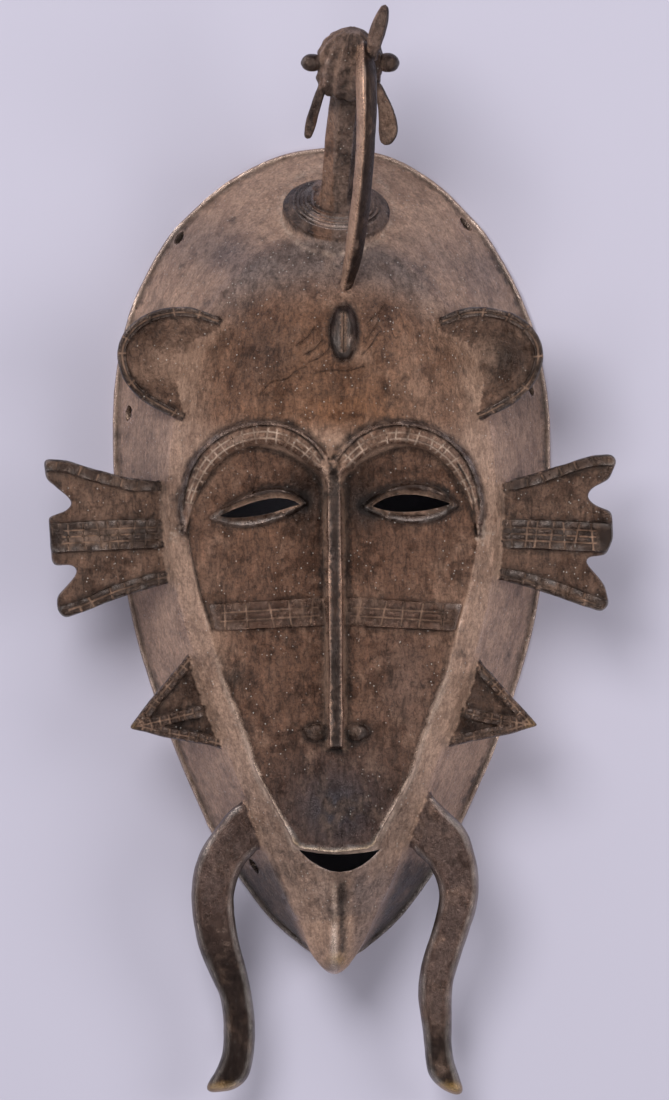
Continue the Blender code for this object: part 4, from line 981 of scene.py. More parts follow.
def bar(name, path, widths, depths, sides, up=(0.0, 0.0, 1.0), relief=None, label="bird"):
    """Closed bar along a path, wide across and deep along up; relief scales each point's radius."""
    path = np.array(path, dtype=float)
    ahead = np.gradient(path, axis=0)
    ahead /= np.linalg.norm(ahead, axis=1)[:, None]
    across = np.cross(ahead, up)
    across /= np.linalg.norm(across, axis=1)[:, None]
    over = np.cross(across, ahead)
    angle = 2 * math.pi * (np.arange(sides) + 0.5) / sides
    share = np.linspace(0, 1, len(path))[:, None]
    scale = relief(angle[None, :], share) if relief else np.ones((len(path), sides))
    wide = np.broadcast_to(widths, len(path))[:, None] / 2 * np.cos(angle) * scale
    deep = np.broadcast_to(depths, len(path))[:, None] / 2 * np.sin(angle) * scale
    points = path[:, None] + across[:, None] * wide[..., None] + over[:, None] * deep[..., None]
    faces = [(row * sides + k, (row + 1) * sides + k, (row + 1) * sides + (k + 1) % sides,
              row * sides + (k + 1) % sides) for row in range(len(path) - 1) for k in range(sides)]
    faces += [tuple(range(sides)), tuple((len(path) - 1) * sides + k for k in range(sides))[::-1]]
    return as_object(name, points.reshape(-1, 3), faces, label)


def rounded_ends(share, reach):
    """Swelling of a bar that closes in a round end at both its ends."""
    near = np.clip(np.minimum(share, 1 - share) / reach, 0, 1)
    return np.sqrt(np.clip(1 - (1 - near) ** 2, 0, 1)) * 0.94 + 0.06


def beak_section(angle, share):
    """Beak's radius round its section: four soft facets, the highest corner just right of the middle."""
    radius = np.ones(angle.shape)
    for first, last in zip(BEAK_CORNERS, BEAK_CORNERS[1:] + (BEAK_CORNERS[0] + 2 * math.pi,)):
        turn = first + (angle - first) % (2 * math.pi)
        facet = math.cos((last - first) / 2) / np.cos(np.clip(turn - (first + last) / 2, -1.2, 1.2))
        radius = np.where(turn < last, 1.03 - 0.6 * (1 - facet), radius)
    return radius + 0.012 * np.cos(11 * share)


def collar_profile(radius, neck):
    """Radius and height of the collar: a smooth cone, then rounded rings up to the neck."""
    span = radius - neck - 1.6
    share = np.linspace(0, 1, 60)
    rings = 0.55 * np.abs(np.sin(math.pi * COLLAR_STEPS * ramp(share, 0.1, 1.0))) * ramp(share, 0.1, 0.3)
    rise = 0.4 + real(COLLAR_STEP_RISE) * COLLAR_STEPS * share + rings
    foot = [(radius * 0.55, -9.0), (radius - 0.6, -5.0), (radius - 0.4, -0.4), (radius - 0.1, 0.1)]
    top = [(neck * 1.08, rise[-1] + 0.8), (neck * 0.7, rise[-1] + 4.0)]
    return foot + list(zip(radius - 0.2 - span * share, rise)) + top


def bird():
    """Collar, neck, head, eye knobs, wattles, horn and the long beak that returns to the brow."""
    foot = np.array(on_bowl(NECK_FOOT))
    lift = np.array(NECK_LEAN) / np.linalg.norm(NECK_LEAN)
    neck = real(NECK_DIAMETER) / 2
    profile = np.array(collar_profile(real(COLLAR_DIAMETER) / 2, neck))
    parts = [bar("collar", foot + lift * profile[:, 1:], 2 * profile[:, 0], 2 * profile[:, 0], 72,
                 up=(1, 0, 0))]
    head = foot + lift * NECK_LENGTH
    share = np.linspace(0, 1, 46)
    swell = 2 * neck * curve_value([(0, 1.05), (0.3, 1.0), (0.6, 0.98), (0.85, 1.0), (1, 1.0)], share)
    parts.append(bar("neck", foot + lift * (2 + (NECK_LENGTH - 2) * share[:, None]), swell, swell, 56,
                     up=(1, 0, 0), relief=lambda a, s: 1 - 0.1 * np.abs(np.sin(3.5 * a + 0.4 * s))
                     - 0.015 * np.cos(15 * a + 3 * s)))
    width = real(HEAD_WIDTH) / 2
    at = np.linspace(HEAD_RINGS[0][0], HEAD_RINGS[-1][0], 30)
    swell = curve_value(HEAD_RINGS, at)
    crest = math.radians(7.5)
    parts.append(bar("head", head + lift * HEAD_HALF_LENGTH * at[:, None], 2 * width * swell,
                     2 * HEAD_HALF_DEPTH * swell, 96, up=(0, -lift[2], lift[1]),
                     relief=lambda a, s: 1.03 - 2 * HEAD_FLUTE * np.abs(np.cos(6 * (a - crest) + s)) ** 3
                     - 0.03 * np.cos(31 * s + 5 * a) * np.cos(4 * a)))
    knob = real(EYE_KNOB_DIAMETER) / 2
    for side in SIDES:
        centre = head + (side * (width + knob * 0.55), -0.5, 1.0)
        at = np.linspace(-1, 1, 13)
        swell = 2 * knob * np.sqrt(np.clip(1.02 - at ** 2, 0.01, 1))
        parts.append(bar("eye_knob", centre + at[:, None] * knob * 1.2 * np.array((1, 0, 0)),
                         swell, swell, 24))
    root = head + BEAK_ROOT
    reach = np.array(on_bowl(BEAK_TIP)) - (0, 0, real(BEAK_TIP_SUNK)) - root
    beak = spline([root + reach * s + (right, 0, rise) for s, right, rise in BEAK_ARCH], 10)
    share = np.linspace(0, 1, len(beak))
    wide = real(BEAK_WIDTH) * curve_value([(0, 0.8), (0.15, 1.05), (0.6, 1.0), (1, 0.62)], share)
    deep = real(BEAK_DEPTH) * curve_value([(0, 0.9), (0.15, 1.1), (0.6, 0.9), (1, 0.6)], share)
    parts.append(bar("beak", beak, wide, deep, 40, relief=beak_section, label="beak"))
    horn = spline([head + point for point in np.array(HORN_PATH)], 8)
    share = np.linspace(0, 1, len(horn))
    swell = curve_value([(0, 0.7), (0.5, 1.0), (1, 0.35)], share) * rounded_ends(share, 0.08)
    parts.append(bar("horn", horn, real(HORN_WIDTH) * swell, real(HORN_DEPTH) * swell, 28,
                     relief=lambda a, s: 1 - 0.1 * (0.5 - 0.5 * np.cos(8 * a)) * ramp(s, 0.0, 0.2)))
    for side, path in WATTLES.items():
        line = spline([head + point for point in np.array(path)], 8)
        share = np.linspace(0, 1, len(line))
        knots = [(0, 0.8), (0.6, 1.0), (1, 0.6)] if side < 0 else [(0, 0.7), (0.7, 1.7), (1, 0.9)]
        swell = curve_value(knots, share) * rounded_ends(share, 0.1)
        deep = real(WATTLE_DEPTH) * curve_value([(0, 1.0), (1, 0.8)], share) * rounded_ends(share, 0.1)
        dish = 0.5 if side > 0 else 0.2
        parts.append(bar("wattle", line, real(WATTLE_WIDTH) * swell * 1.15, deep, 28,
                         relief=lambda a, s: 1 - dish * np.clip(np.sin(a), 0, 1) ** 6 * ramp(s, 0.1, 0.4)))
    return parts


def tie_hole(place):
    """Ragged round cutter square to the flank, to tie a costume to the rim."""
    step = 0.5
    around = np.array([place, place, place]) + ((0, 0), (step, 0), (0, step))
    z = bowl_height(around[:, 0], around[:, 1], 0.0)
    normal = np.array((z[0] - z[1], z[0] - z[2], step))
    normal /= np.linalg.norm(normal)
    centre = np.array((place[0], place[1], z[0]))
    width = real(TIE_HOLE_DIAMETER)
    return bar("tie_hole", [centre + normal * reach for reach in (-7.0, 0.0, 6.0)], width, width, 26,
               up=(0.1, 0.2, 1.0), label="inside",
               relief=lambda a, s: 1 + 0.1 * np.cos(2 * a + place[0]) + 0.04 * np.cos(5 * a))


def join(solid, other, operation):
    """Adds the other object to the solid, or cuts it out of the solid."""
    change = solid.modifiers.new(other.name, "BOOLEAN")
    change.object = other
    change.operation = operation
    change.solver = "MANIFOLD"


def flatten(solid):
    """Replaces the solid's mesh with the result of its modifiers and removes what they used."""
    bpy.context.view_layer.update()
    result = bpy.data.meshes.new_from_object(solid.evaluated_get(bpy.context.evaluated_depsgraph_get()))
    used = [change.object for change in solid.modifiers]
    solid.modifiers.clear()
    solid.data = result
    for other in used:
        bpy.data.objects.remove(other)


def part_twins(data):
    """Gives folded faces that the cuts leave over the same corners a middle vertex each."""
    form = bmesh.new()
    form.from_mesh(data)
    over = {}
    for face in form.faces:
        over.setdefault(frozenset(corner.index for corner in face.verts), []).append(face)
    bmesh.ops.poke(form, faces=[face for faces in over.values() if len(faces) > 1 for face in faces])
    form.to_mesh(data)
    form.free()


def cast():
    """The whole casting: everything joined, then the hollow, the slits, the mouth and the holes cut."""
    mask = body()
    mask.name = "cast_mask"
    join(mask, chin(), "UNION")
    for side in SIDES:
        for limb in (ear(side), fin(side), spike(side), leg(side)):
            join(mask, limb, "UNION")
    for piece in bird():
        join(mask, piece, "UNION")
    join(mask, inside(), "DIFFERENCE")
    for shape in (*EYE_SLITS.values(), MOUTH):
        join(mask, prism(almond(shape)), "DIFFERENCE")
    for place in TIE_HOLES:
        join(mask, tie_hole(place), "DIFFERENCE")
    flatten(mask)
    part_twins(mask.data)
    return mask


def noise(points, cell, seed):
    """Smooth noise from about -1 to 1 at points, in cells of a size."""
    table = np.random.default_rng(seed).uniform(-1, 1, 4096)
    scaled = points / cell
    low = np.floor(scaled).astype(np.int64)
    t = scaled - low
    t = t * t * (3 - 2 * t)
    total = np.zeros(len(points))
    for corner in np.ndindex(2, 2, 2):
        at = low + corner
        key = (at[:, 0] * 73856093 ^ at[:, 1] * 19349663 ^ at[:, 2] * 83492791) & 4095
        total += table[key] * np.prod(np.where(corner, t, 1 - t), axis=1)
    return total


def noises(points, layers):
    """Sum of noises, each with its strength, the size of its cells and its seed."""
    return sum(strength * noise(points, cell, seed) for strength, cell, seed in layers)


def coordinates(data):
    """Vertex places in the drawing's millimetres."""
    flat = np.empty(len(data.vertices) * 3)
    data.vertices.foreach_get("co", flat)
    return flat.reshape(-1, 3) / (SCALE * METRE)


def place_vertices(data, points):
    """Moves the vertices to places in the drawing's millimetres."""
    data.vertices.foreach_set("co", (points * SCALE * METRE).ravel())
    data.update()


def edge_ends(data):
    """Both vertices of each edge."""
    ends = np.empty(len(data.edges) * 2, dtype=np.int32)
    data.edges.foreach_get("vertices", ends)
    return ends.reshape(-1, 2)


def around_mean(values, ends):
    """Mean of each vertex's neighbours."""
    count = len(values)
    both = np.concatenate((ends[:, 0], ends[:, 1]))
    other = np.concatenate((ends[:, 1], ends[:, 0]))
    number = np.maximum(np.bincount(both, minlength=count), 1)
    values = values.reshape(count, -1)
    total = [np.bincount(both, column, minlength=count) for column in values[other].T]
    return np.stack(total, axis=1) / number[:, None]


def piece_of(data):
    """For each vertex, the lowest and highest mark of the faces around it."""
    marks = np.empty(len(data.polygons), dtype=np.int32)
    data.polygons.foreach_get("material_index", marks)
    corners = np.empty(len(data.loops), dtype=np.int32)
    data.loops.foreach_get("vertex_index", corners)
    totals = np.empty(len(data.polygons), dtype=np.int32)
    data.polygons.foreach_get("loop_total", totals)
    per_corner = np.repeat(marks, totals)
    low = np.full(len(data.vertices), len(PIECES))
    high = np.full(len(data.vertices), -1)
    np.minimum.at(low, corners, per_corner)
    np.maximum.at(high, corners, per_corner)
    return low, high


# Rounds that soften the joints between the pieces
JOINT_SPREAD = 3
JOINT_ROUNDS = 8

# Unevenness of the skin: height, size and seed of each layer, and the crumbs of the mould
SKIN = [(0.26, 13.0, 1), (0.15, 4.5, 2), (0.07, 1.9, 3)]
CRUMB_HEIGHT = 0.3
CRUMB_NOISE = (1.3, 14)

# Rough, dusty places: place, half-sizes and strength
CRUMBS = [((1.5, 29.0), (6.0, 7.0), 1.0), ((-17.0, 35.0), (14.0, 5.0), 0.45),
          ((18.0, 35.0), (14.0, 5.0), 0.45), ((2.0, 100.0), (17.0, 3.5), 0.5),
          ((4.8, 82.5), (4.0, 4.0), 0.9), ((0.0, -58.0), (13.0, 5.0), 0.35),
          ((-8.0, -20.0), (4.0, 8.0), 0.4), ((8.5, -20.0), (3.0, 8.0), 0.4)]


def crumbly(x, y):
    """Roughness of the casting left by crumbs of the mould, from 0 to 1."""
    return np.max([strength * spot(x, y, place, half) for place, half, strength in CRUMBS], axis=0)


def weather(data):
    """Softens the joints between the pieces and gives the casting its uneven skin."""
    points, ends = coordinates(data), edge_ends(data)
    low, high = piece_of(data)
    joint = ((low != high) & (high < PIECES.index("inside"))).astype(float)
    for _ in range(JOINT_SPREAD):
        joint = np.maximum(joint, around_mean(joint, ends)[:, 0] * 1.5)
    joint = np.clip(joint, 0, 1) * (points[:, 2] > real(LIP_HEIGHT))
    for _ in range(JOINT_ROUNDS):
        points += (around_mean(points, ends) - points) * joint[:, None] * 0.6
    place_vertices(data, points)
    normals = np.array([n.vector for n in data.vertex_normals])
    skin = noises(points, SKIN)
    x, y = points[:, 0], points[:, 1]
    skin += CRUMB_HEIGHT * crumbly(x, y) * noise(points, *CRUMB_NOISE) * (high < PIECES.index("bird"))
    skin = np.where(points[:, 2] > 0.2, skin, 0.0)
    place_vertices(data, points + normals * skin[:, None])


def tone(red, green, blue):
    """Linear colour from the usual 0 to 255 values."""
    share = np.array((red, green, blue)) / 255
    return np.where(share > 0.04045, ((share + 0.055) / 1.055) ** 2.4, share / 12.92)


# Colours of dust, of the parts of the casting and of bare metal; the dust colour also serves as painted light
# and the silver as a painted highlight
DUST_AND_PAINTED_LIGHT = tone(196, 158, 134)
FRAME = tone(200, 163, 140)
STONE_GREY = tone(130, 114, 109)
PANEL_BROWN = tone(122, 86, 66)
FOREHEAD_BROWN = tone(136, 96, 71)
BROW_BROWN = tone(124, 92, 74)
PALE = tone(216, 188, 168)
BAND_BROWN = tone(66, 48, 40)
DARK = tone(38, 29, 26)
PLATE_TAN = tone(120, 90, 73)
LEG_BROWN = tone(100, 79, 71)
GOLD = tone(200, 158, 92)
SILVER_WEAR_AND_HIGHLIGHT = tone(196, 188, 184)
BLUE_GREY = tone(74, 74, 86)
INSIDE_BROWN = tone(70, 54, 44)
BIRD_BROWN = tone(118, 94, 82)
ORANGE = tone(158, 104, 64)

# Soft stains and painted shade: place, half-sizes, colour and strength. The two dark ones at the root of the
# nose are painted shade in its hollows
STAINS_AND_PAINTED_SHADE = [((-9.0, 14.0), (7.0, 10.0), DARK, 0.95), ((11.0, 13.0), (7.0, 9.0), DARK, 0.95),
          ((5.0, 44.0), (15.0, 7.0), ORANGE, 0.45), ((15.0, 74.0), (9.0, 7.0), BAND_BROWN, 0.35),
          ((-22.0, 60.0), (11.0, 12.0), BAND_BROWN, 0.5),
          ((-33.0, 94.0), (10.0, 8.0), BLUE_GREY, 0.6), ((34.0, 92.0), (12.0, 9.0), BLUE_GREY, 0.3),
          ((30.0, 52.0), (10.0, 14.0), DUST_AND_PAINTED_LIGHT, 0.5), ((9.0, 60.5), (5.0, 3.0), DUST_AND_PAINTED_LIGHT, 0.5),
          # The dark blue-grey one below the nose is painted shade on the upper lip
          ((2.0, -84.0), (21.0, 19.0), BLUE_GREY * 0.36, 0.95), ((-30.0, -42.0), (3.6, 3.6), DARK, 0.85),
          ((-22.0, 4.0), (12.0, 12.0), FOREHEAD_BROWN, 0.35), ((24.0, -44.0), (9.0, 16.0), STONE_GREY, 0.25),
          ((-58.0, 12.0), (7.0, 22.0), BAND_BROWN, 0.6), ((62.0, 58.0), (7.0, 22.0), BAND_BROWN, 0.65),
          ((-42.0, 30.0), (6.0, 16.0), DUST_AND_PAINTED_LIGHT, 0.45), ((-38.0, -36.0), (6.0, 22.0), DUST_AND_PAINTED_LIGHT, 0.55),
          ((42.0, -30.0), (5.0, 22.0), DUST_AND_PAINTED_LIGHT, 0.45), ((-52.0, -44.0), (7.0, 16.0), DUST_AND_PAINTED_LIGHT, 0.3),
          ((-48.0, 98.0), (12.0, 8.0), STONE_GREY, 0.5), ((2.0, -112.0), (10.0, 12.0), STONE_GREY, 0.5),
          ((50.0, 88.0), (8.0, 12.0), BLUE_GREY, 0.45), ((-36.0, 58.0), (9.0, 16.0), FOREHEAD_BROWN, 0.75),
          ((37.0, 60.0), (9.0, 16.0), FOREHEAD_BROWN, 0.75)]

# Front facets of the chin; the flanks beyond them get painted shade
CHIN_WEDGE = [(-18.6, -94.0), (-14.5, -105.5), (-10.2, -118.4), (-7.7, -126.4), (-3.8, -132.8), (0.3, -135.4),
              (4.8, -133.8), (9.6, -129.6), (14.4, -120.0), (18.6, -110.3), (22.4, -100.7), (24.0, -95.9)]

# Painted shade in the hollows beside the root of the nose
SOCKET_SHADES = [((-7.0, 17.0), (4.5, 9.0)), ((9.0, 16.0), (4.5, 9.0))]

# Heights between which the crown turns grey, a painted reflection of the pale room, and the forehead brown,
# and the creases that are faint
CROWN_FADE = (60.0, 92.0)
FOREHEAD_FOOT = (32.0, 42.0)
FOREHEAD_TOP = (74.0, 92.0)
FAINT_CREASES = (44.0, 84.0)

# Middle of the face, where the edges get less of the bare, painted silver highlight: its foot and its
# half-width
CALM_FOOT = -90.0
CALM_HALF = 36.05551

# Shading of the limbs: where they turn dark or bare, from the middle outward or from the top down
EAR_SHADE = ((57.5, 60.0), (8.0, 9.0))
PRONG_TIPS = (84.5, 88.0)
SPIKE_TIP = (65.5, -58.0)
SPIKE_TIP_REACH = (1.5, 4.5)
LEG_SHADE = {-1: (112.0, 138.0), 1: (146.0, 160.0)}
LEG_TIPS = (-173.5, -171.5)
CHIN_PATCH = ((2.4, -132.6), (2.6, 2.0))
NECK_SHADE = ((3.5, 142.0), (6.0, 3.0))
NECK_RUST = (132.0, 142.0)
HEAD_MIDDLE = 7.0

# Painted light along the ridge line of the chin, and painted shade to its right
KEEL_LIT_OFFSET = 0.1
KEEL_SHADE_OFFSET = 2.4

# Unevenness of the colours: strength, size and seed of each layer
MOTTLE = [(0.5, 7.0, 5), (0.4, 3.0, 6), (0.4, 1.4, 7)]

# Other noises of the painting: cell size and seed
HOLLOW_NOISE = (9.0, 16)
HATCH_NOISE = (3.0, 8)
CREASE_NOISE = (3.0, 18)
COLLAR_NOISE = (1.2, 17)
EDGE_NOISE = (5.0, 9)
RIDGE_NOISE = (3.0, 15)


def layered(colours, layers):
    """Colours moved towards each layer's colour in turn, by the layer's share at each point."""
    for other, share in layers:
        colours = colours + (other - colours) * np.clip(share, 0, 1)[:, None]
    return colours


def body_colours(x, y):
    """Colours of the bowl by its parts, from the flank to the carving on the face."""
    block = depth_inside(x, y, BLOCK)
    panel = depth_inside(x, y, PANEL)
    # The crown's grey is a painted reflection of the pale room
    layers = [(STONE_GREY, 0.85 * ramp(y, *CROWN_FADE) * ramp(block, -4.0, 2.0)),
              (FOREHEAD_BROWN,
               ramp(block, 2.0, 14.0) * ramp(y, *FOREHEAD_FOOT) * (1 - ramp(y, *FOREHEAD_TOP))),
              (PANEL_BROWN, ramp(panel, -0.6, 0.5))]
    layers += [(colour, strength * spot(x, y, place, half)) for place, half, colour, strength in STAINS_AND_PAINTED_SHADE]
    for side, (line, half, _) in BROWS.items():
        away, place = nearest(x, y, line, reach=7.0)
        ridge, _ = nearest(x, y, beside(line, side * (half - 0.8)), reach=3.0)
        layers += [(BROW_BROWN, 0.85 * (1 - ramp(away - curve_value(BROW_HALF_WIDTH, place), -0.3, 0.6))),
                   (BAND_BROWN, 0.8 * (1 - ramp(ridge, 0.5, 1.3)))]
    for side, ring in CHEEKS.items():
        lid = depth_inside(x, y, almond(EYE_LIDS[side]), reach=3.0)
        slit = -depth_inside(x, y, almond(EYE_SLITS[side]), reach=4.0)
        # Painted light in dust colour on the upper lid's inner rim, and a painted silver highlight, partly
        # worn metal, along the lower lid
        inner = (1 - ramp(slit, 0.6, 1.7)) * ramp(lid, 0.5, 1.5) * (y > EYE_SLITS[side][0][1] - 2.5)
        lower = (y < (EYE_LIDS[side][0][1] + EYE_LIDS[side][1][1]) / 2) * bell(lid, 0.9, 0.4)
        layers += [(BAND_BROWN, 0.8 * ramp(depth_inside(x, y, ring, reach=2.0), -0.5, 0.3)),
                   (DARK, 0.7 * ramp(lid, -1.2, 0.2)), (DUST_AND_PAINTED_LIGHT, 0.75 * inner), (SILVER_WEAR_AND_HIGHLIGHT, 0.42 * lower)]
    across = off_nose(x, y)
    nose = (y > NOSE_TIP - 1) & (y < NOSE_TOP)
    lip = ramp(panel, -0.3, 0.3) * (1 - ramp(panel, 0.8, 1.5)) * (1 - ramp(y, -94.5, -92.5))
    beyond_wedge = -depth_inside(x, y, np.array(CHIN_WEDGE))
    layers += [
        (DUST_AND_PAINTED_LIGHT, 0.75 * nose * ramp(across, 1.7, 2.3) * (1 - ramp(across, 3.4, 4.2))),
        (DARK, 0.8 * nose * (1 - ramp(across, 1.6, 2.1))),
        (DARK, 0.85 * (1 - ramp(oval(across, y, NOSTRIL, NOSTRIL_HALF), 0.95, 1.1))),
        (DARK, 0.95 * (1 - ramp(oval(x, y, BOSS, BOSS_HALF), 0.95, 1.15))),
        (DUST_AND_PAINTED_LIGHT, 0.7 * (1 - ramp(np.abs(x - BOSS[0]), 0.4, 1.0)) * (np.abs(y - BOSS[1]) < 6.0)),
        # Painted shade right of the chin's keel and blue-grey painted shade on its right facet, painted light
        # along the keel, painted shade on the flanks beyond the wedge
        (DARK * 0.8, 0.92 * bell(x - KEEL_X, KEEL_SHADE_OFFSET, 1.7) * ramp(-y, 104.0, 111.0)),
        (BLUE_GREY, 0.45 * ramp(x, 5.5, 9.0) * ramp(-y, 98.0, 108.0)),
        (PALE, 0.6 * (1 - ramp(np.abs(x - KEEL_X - KEEL_LIT_OFFSET), 0.3, 0.9)) * ramp(-y, 106.0, 110.0)),
        (DARK, 0.8 * ramp(beyond_wedge, 0.2, 2.6) * ramp(-y, 97.0, 105.0)),
        (GOLD, 0.75 * lip)]
    return layered(np.tile(FRAME, (len(x), 1)), layers)


def limb_colours(x, y, z, normals, piece, face):
    """Colours of the ears, fins, spikes, legs, chin and bird; face holds the bowl's own colours."""
    ears, fins, spikes, legs, chins, birds, beaks = (
        piece == PIECES.index(label) for label in ("ear", "fin", "spike", "leg", "chin", "bird", "beak"))
    layers = []
    for side in SIDES:
        here = np.sign(x) == side
        edge, _ = nearest(x, y, EAR_EDGES[side])
        band = 1 - ramp(edge, real(EAR_BAND_WIDTH) - 0.7, real(EAR_BAND_WIDTH))
        tip = 1 - ramp(np.hypot(x - side * SPIKE_TIP[0], y - SPIKE_TIP[1]), *SPIKE_TIP_REACH)
        layers += [(face, 0.6 * ramp(edge, 7.0, 15.0) * here * ears),
                   (DARK, 0.85 * band * here * ears),
                   (DARK, 0.86 * banded(x, y, BANDS[side][0]) * here * fins),
                   (DARK, 0.6 * ramp(np.abs(x), *PRONG_TIPS) * fins * here),
                   (DARK, 0.7 * banded(x, y, BANDS[side][1]) * here * spikes),
                   (GOLD, 0.75 * tip * here * spikes)]
    layers.append((LEG_BROWN, legs))
    layers += [(DARK, 0.85 * legs * ramp(-y, *LEG_SHADE[side]) * (x * side > 0)) for side in SIDES]
    facing, across = normals[:, 2], normals[:, 0]
    layers += [
        (GOLD, 0.6 * legs * (1 - ramp(y, *LEG_TIPS))),
        (FRAME, chins),
        # Painted shade right of the chin's keel and blue-grey painted shade on its right facet, painted light
        # along the keel
        (DARK, 0.8 * chins * bell(x - KEEL_X, KEEL_SHADE_OFFSET + 0.2, 1.5) * (y > -130.0)),
        (BLUE_GREY, 0.45 * chins * ramp(x, 5.5, 9.0)),
        (PALE, 0.6 * chins * (1 - ramp(np.abs(x - KEEL_X - KEEL_LIT_OFFSET), 0.5, 1.3))),
        (GOLD, 0.7 * chins * spot(x, y, *CHIN_PATCH)),
        (BAND_BROWN, 0.55 * spikes * (1 - ramp(z, 44.0, 48.0))),
        (DARK, 0.85 * ears * spot(x, y, *EAR_SHADE)),
        (BIRD_BROWN, birds | beaks),
        # Painted shade on the bird's and the beak's sides that face right, and painted light in dust colour
        # on the sides that face left
        (DARK, 0.8 * birds * ramp(across, 0.35, 0.8) * ramp(y, 108.0, 113.0)),
        (DUST_AND_PAINTED_LIGHT, 0.4 * birds * ramp(-across, 0.2, 0.7)),
        (DARK, 0.88 * beaks * ramp(across, 0.05, 0.35)),
        (DUST_AND_PAINTED_LIGHT, 0.85 * beaks * ramp(-across, 0.0, 0.3)),
        (DARK, 0.8 * birds * ramp(np.abs(x - HEAD_MIDDLE), 10.2, 12.0)),
        (DARK, 0.85 * birds * spot(x, y, *NECK_SHADE)),
        (DUST_AND_PAINTED_LIGHT, 0.7 * birds * (y < 146.0) * (x > 14.0) * ramp(facing, 0.7, 0.93)),
        (ORANGE, 0.3 * birds * (x < 1.0) * (x > -5.5) * (1 - ramp(y, *NECK_RUST)))]
    return layered(np.tile(PLATE_TAN, (len(x), 1)), layers)


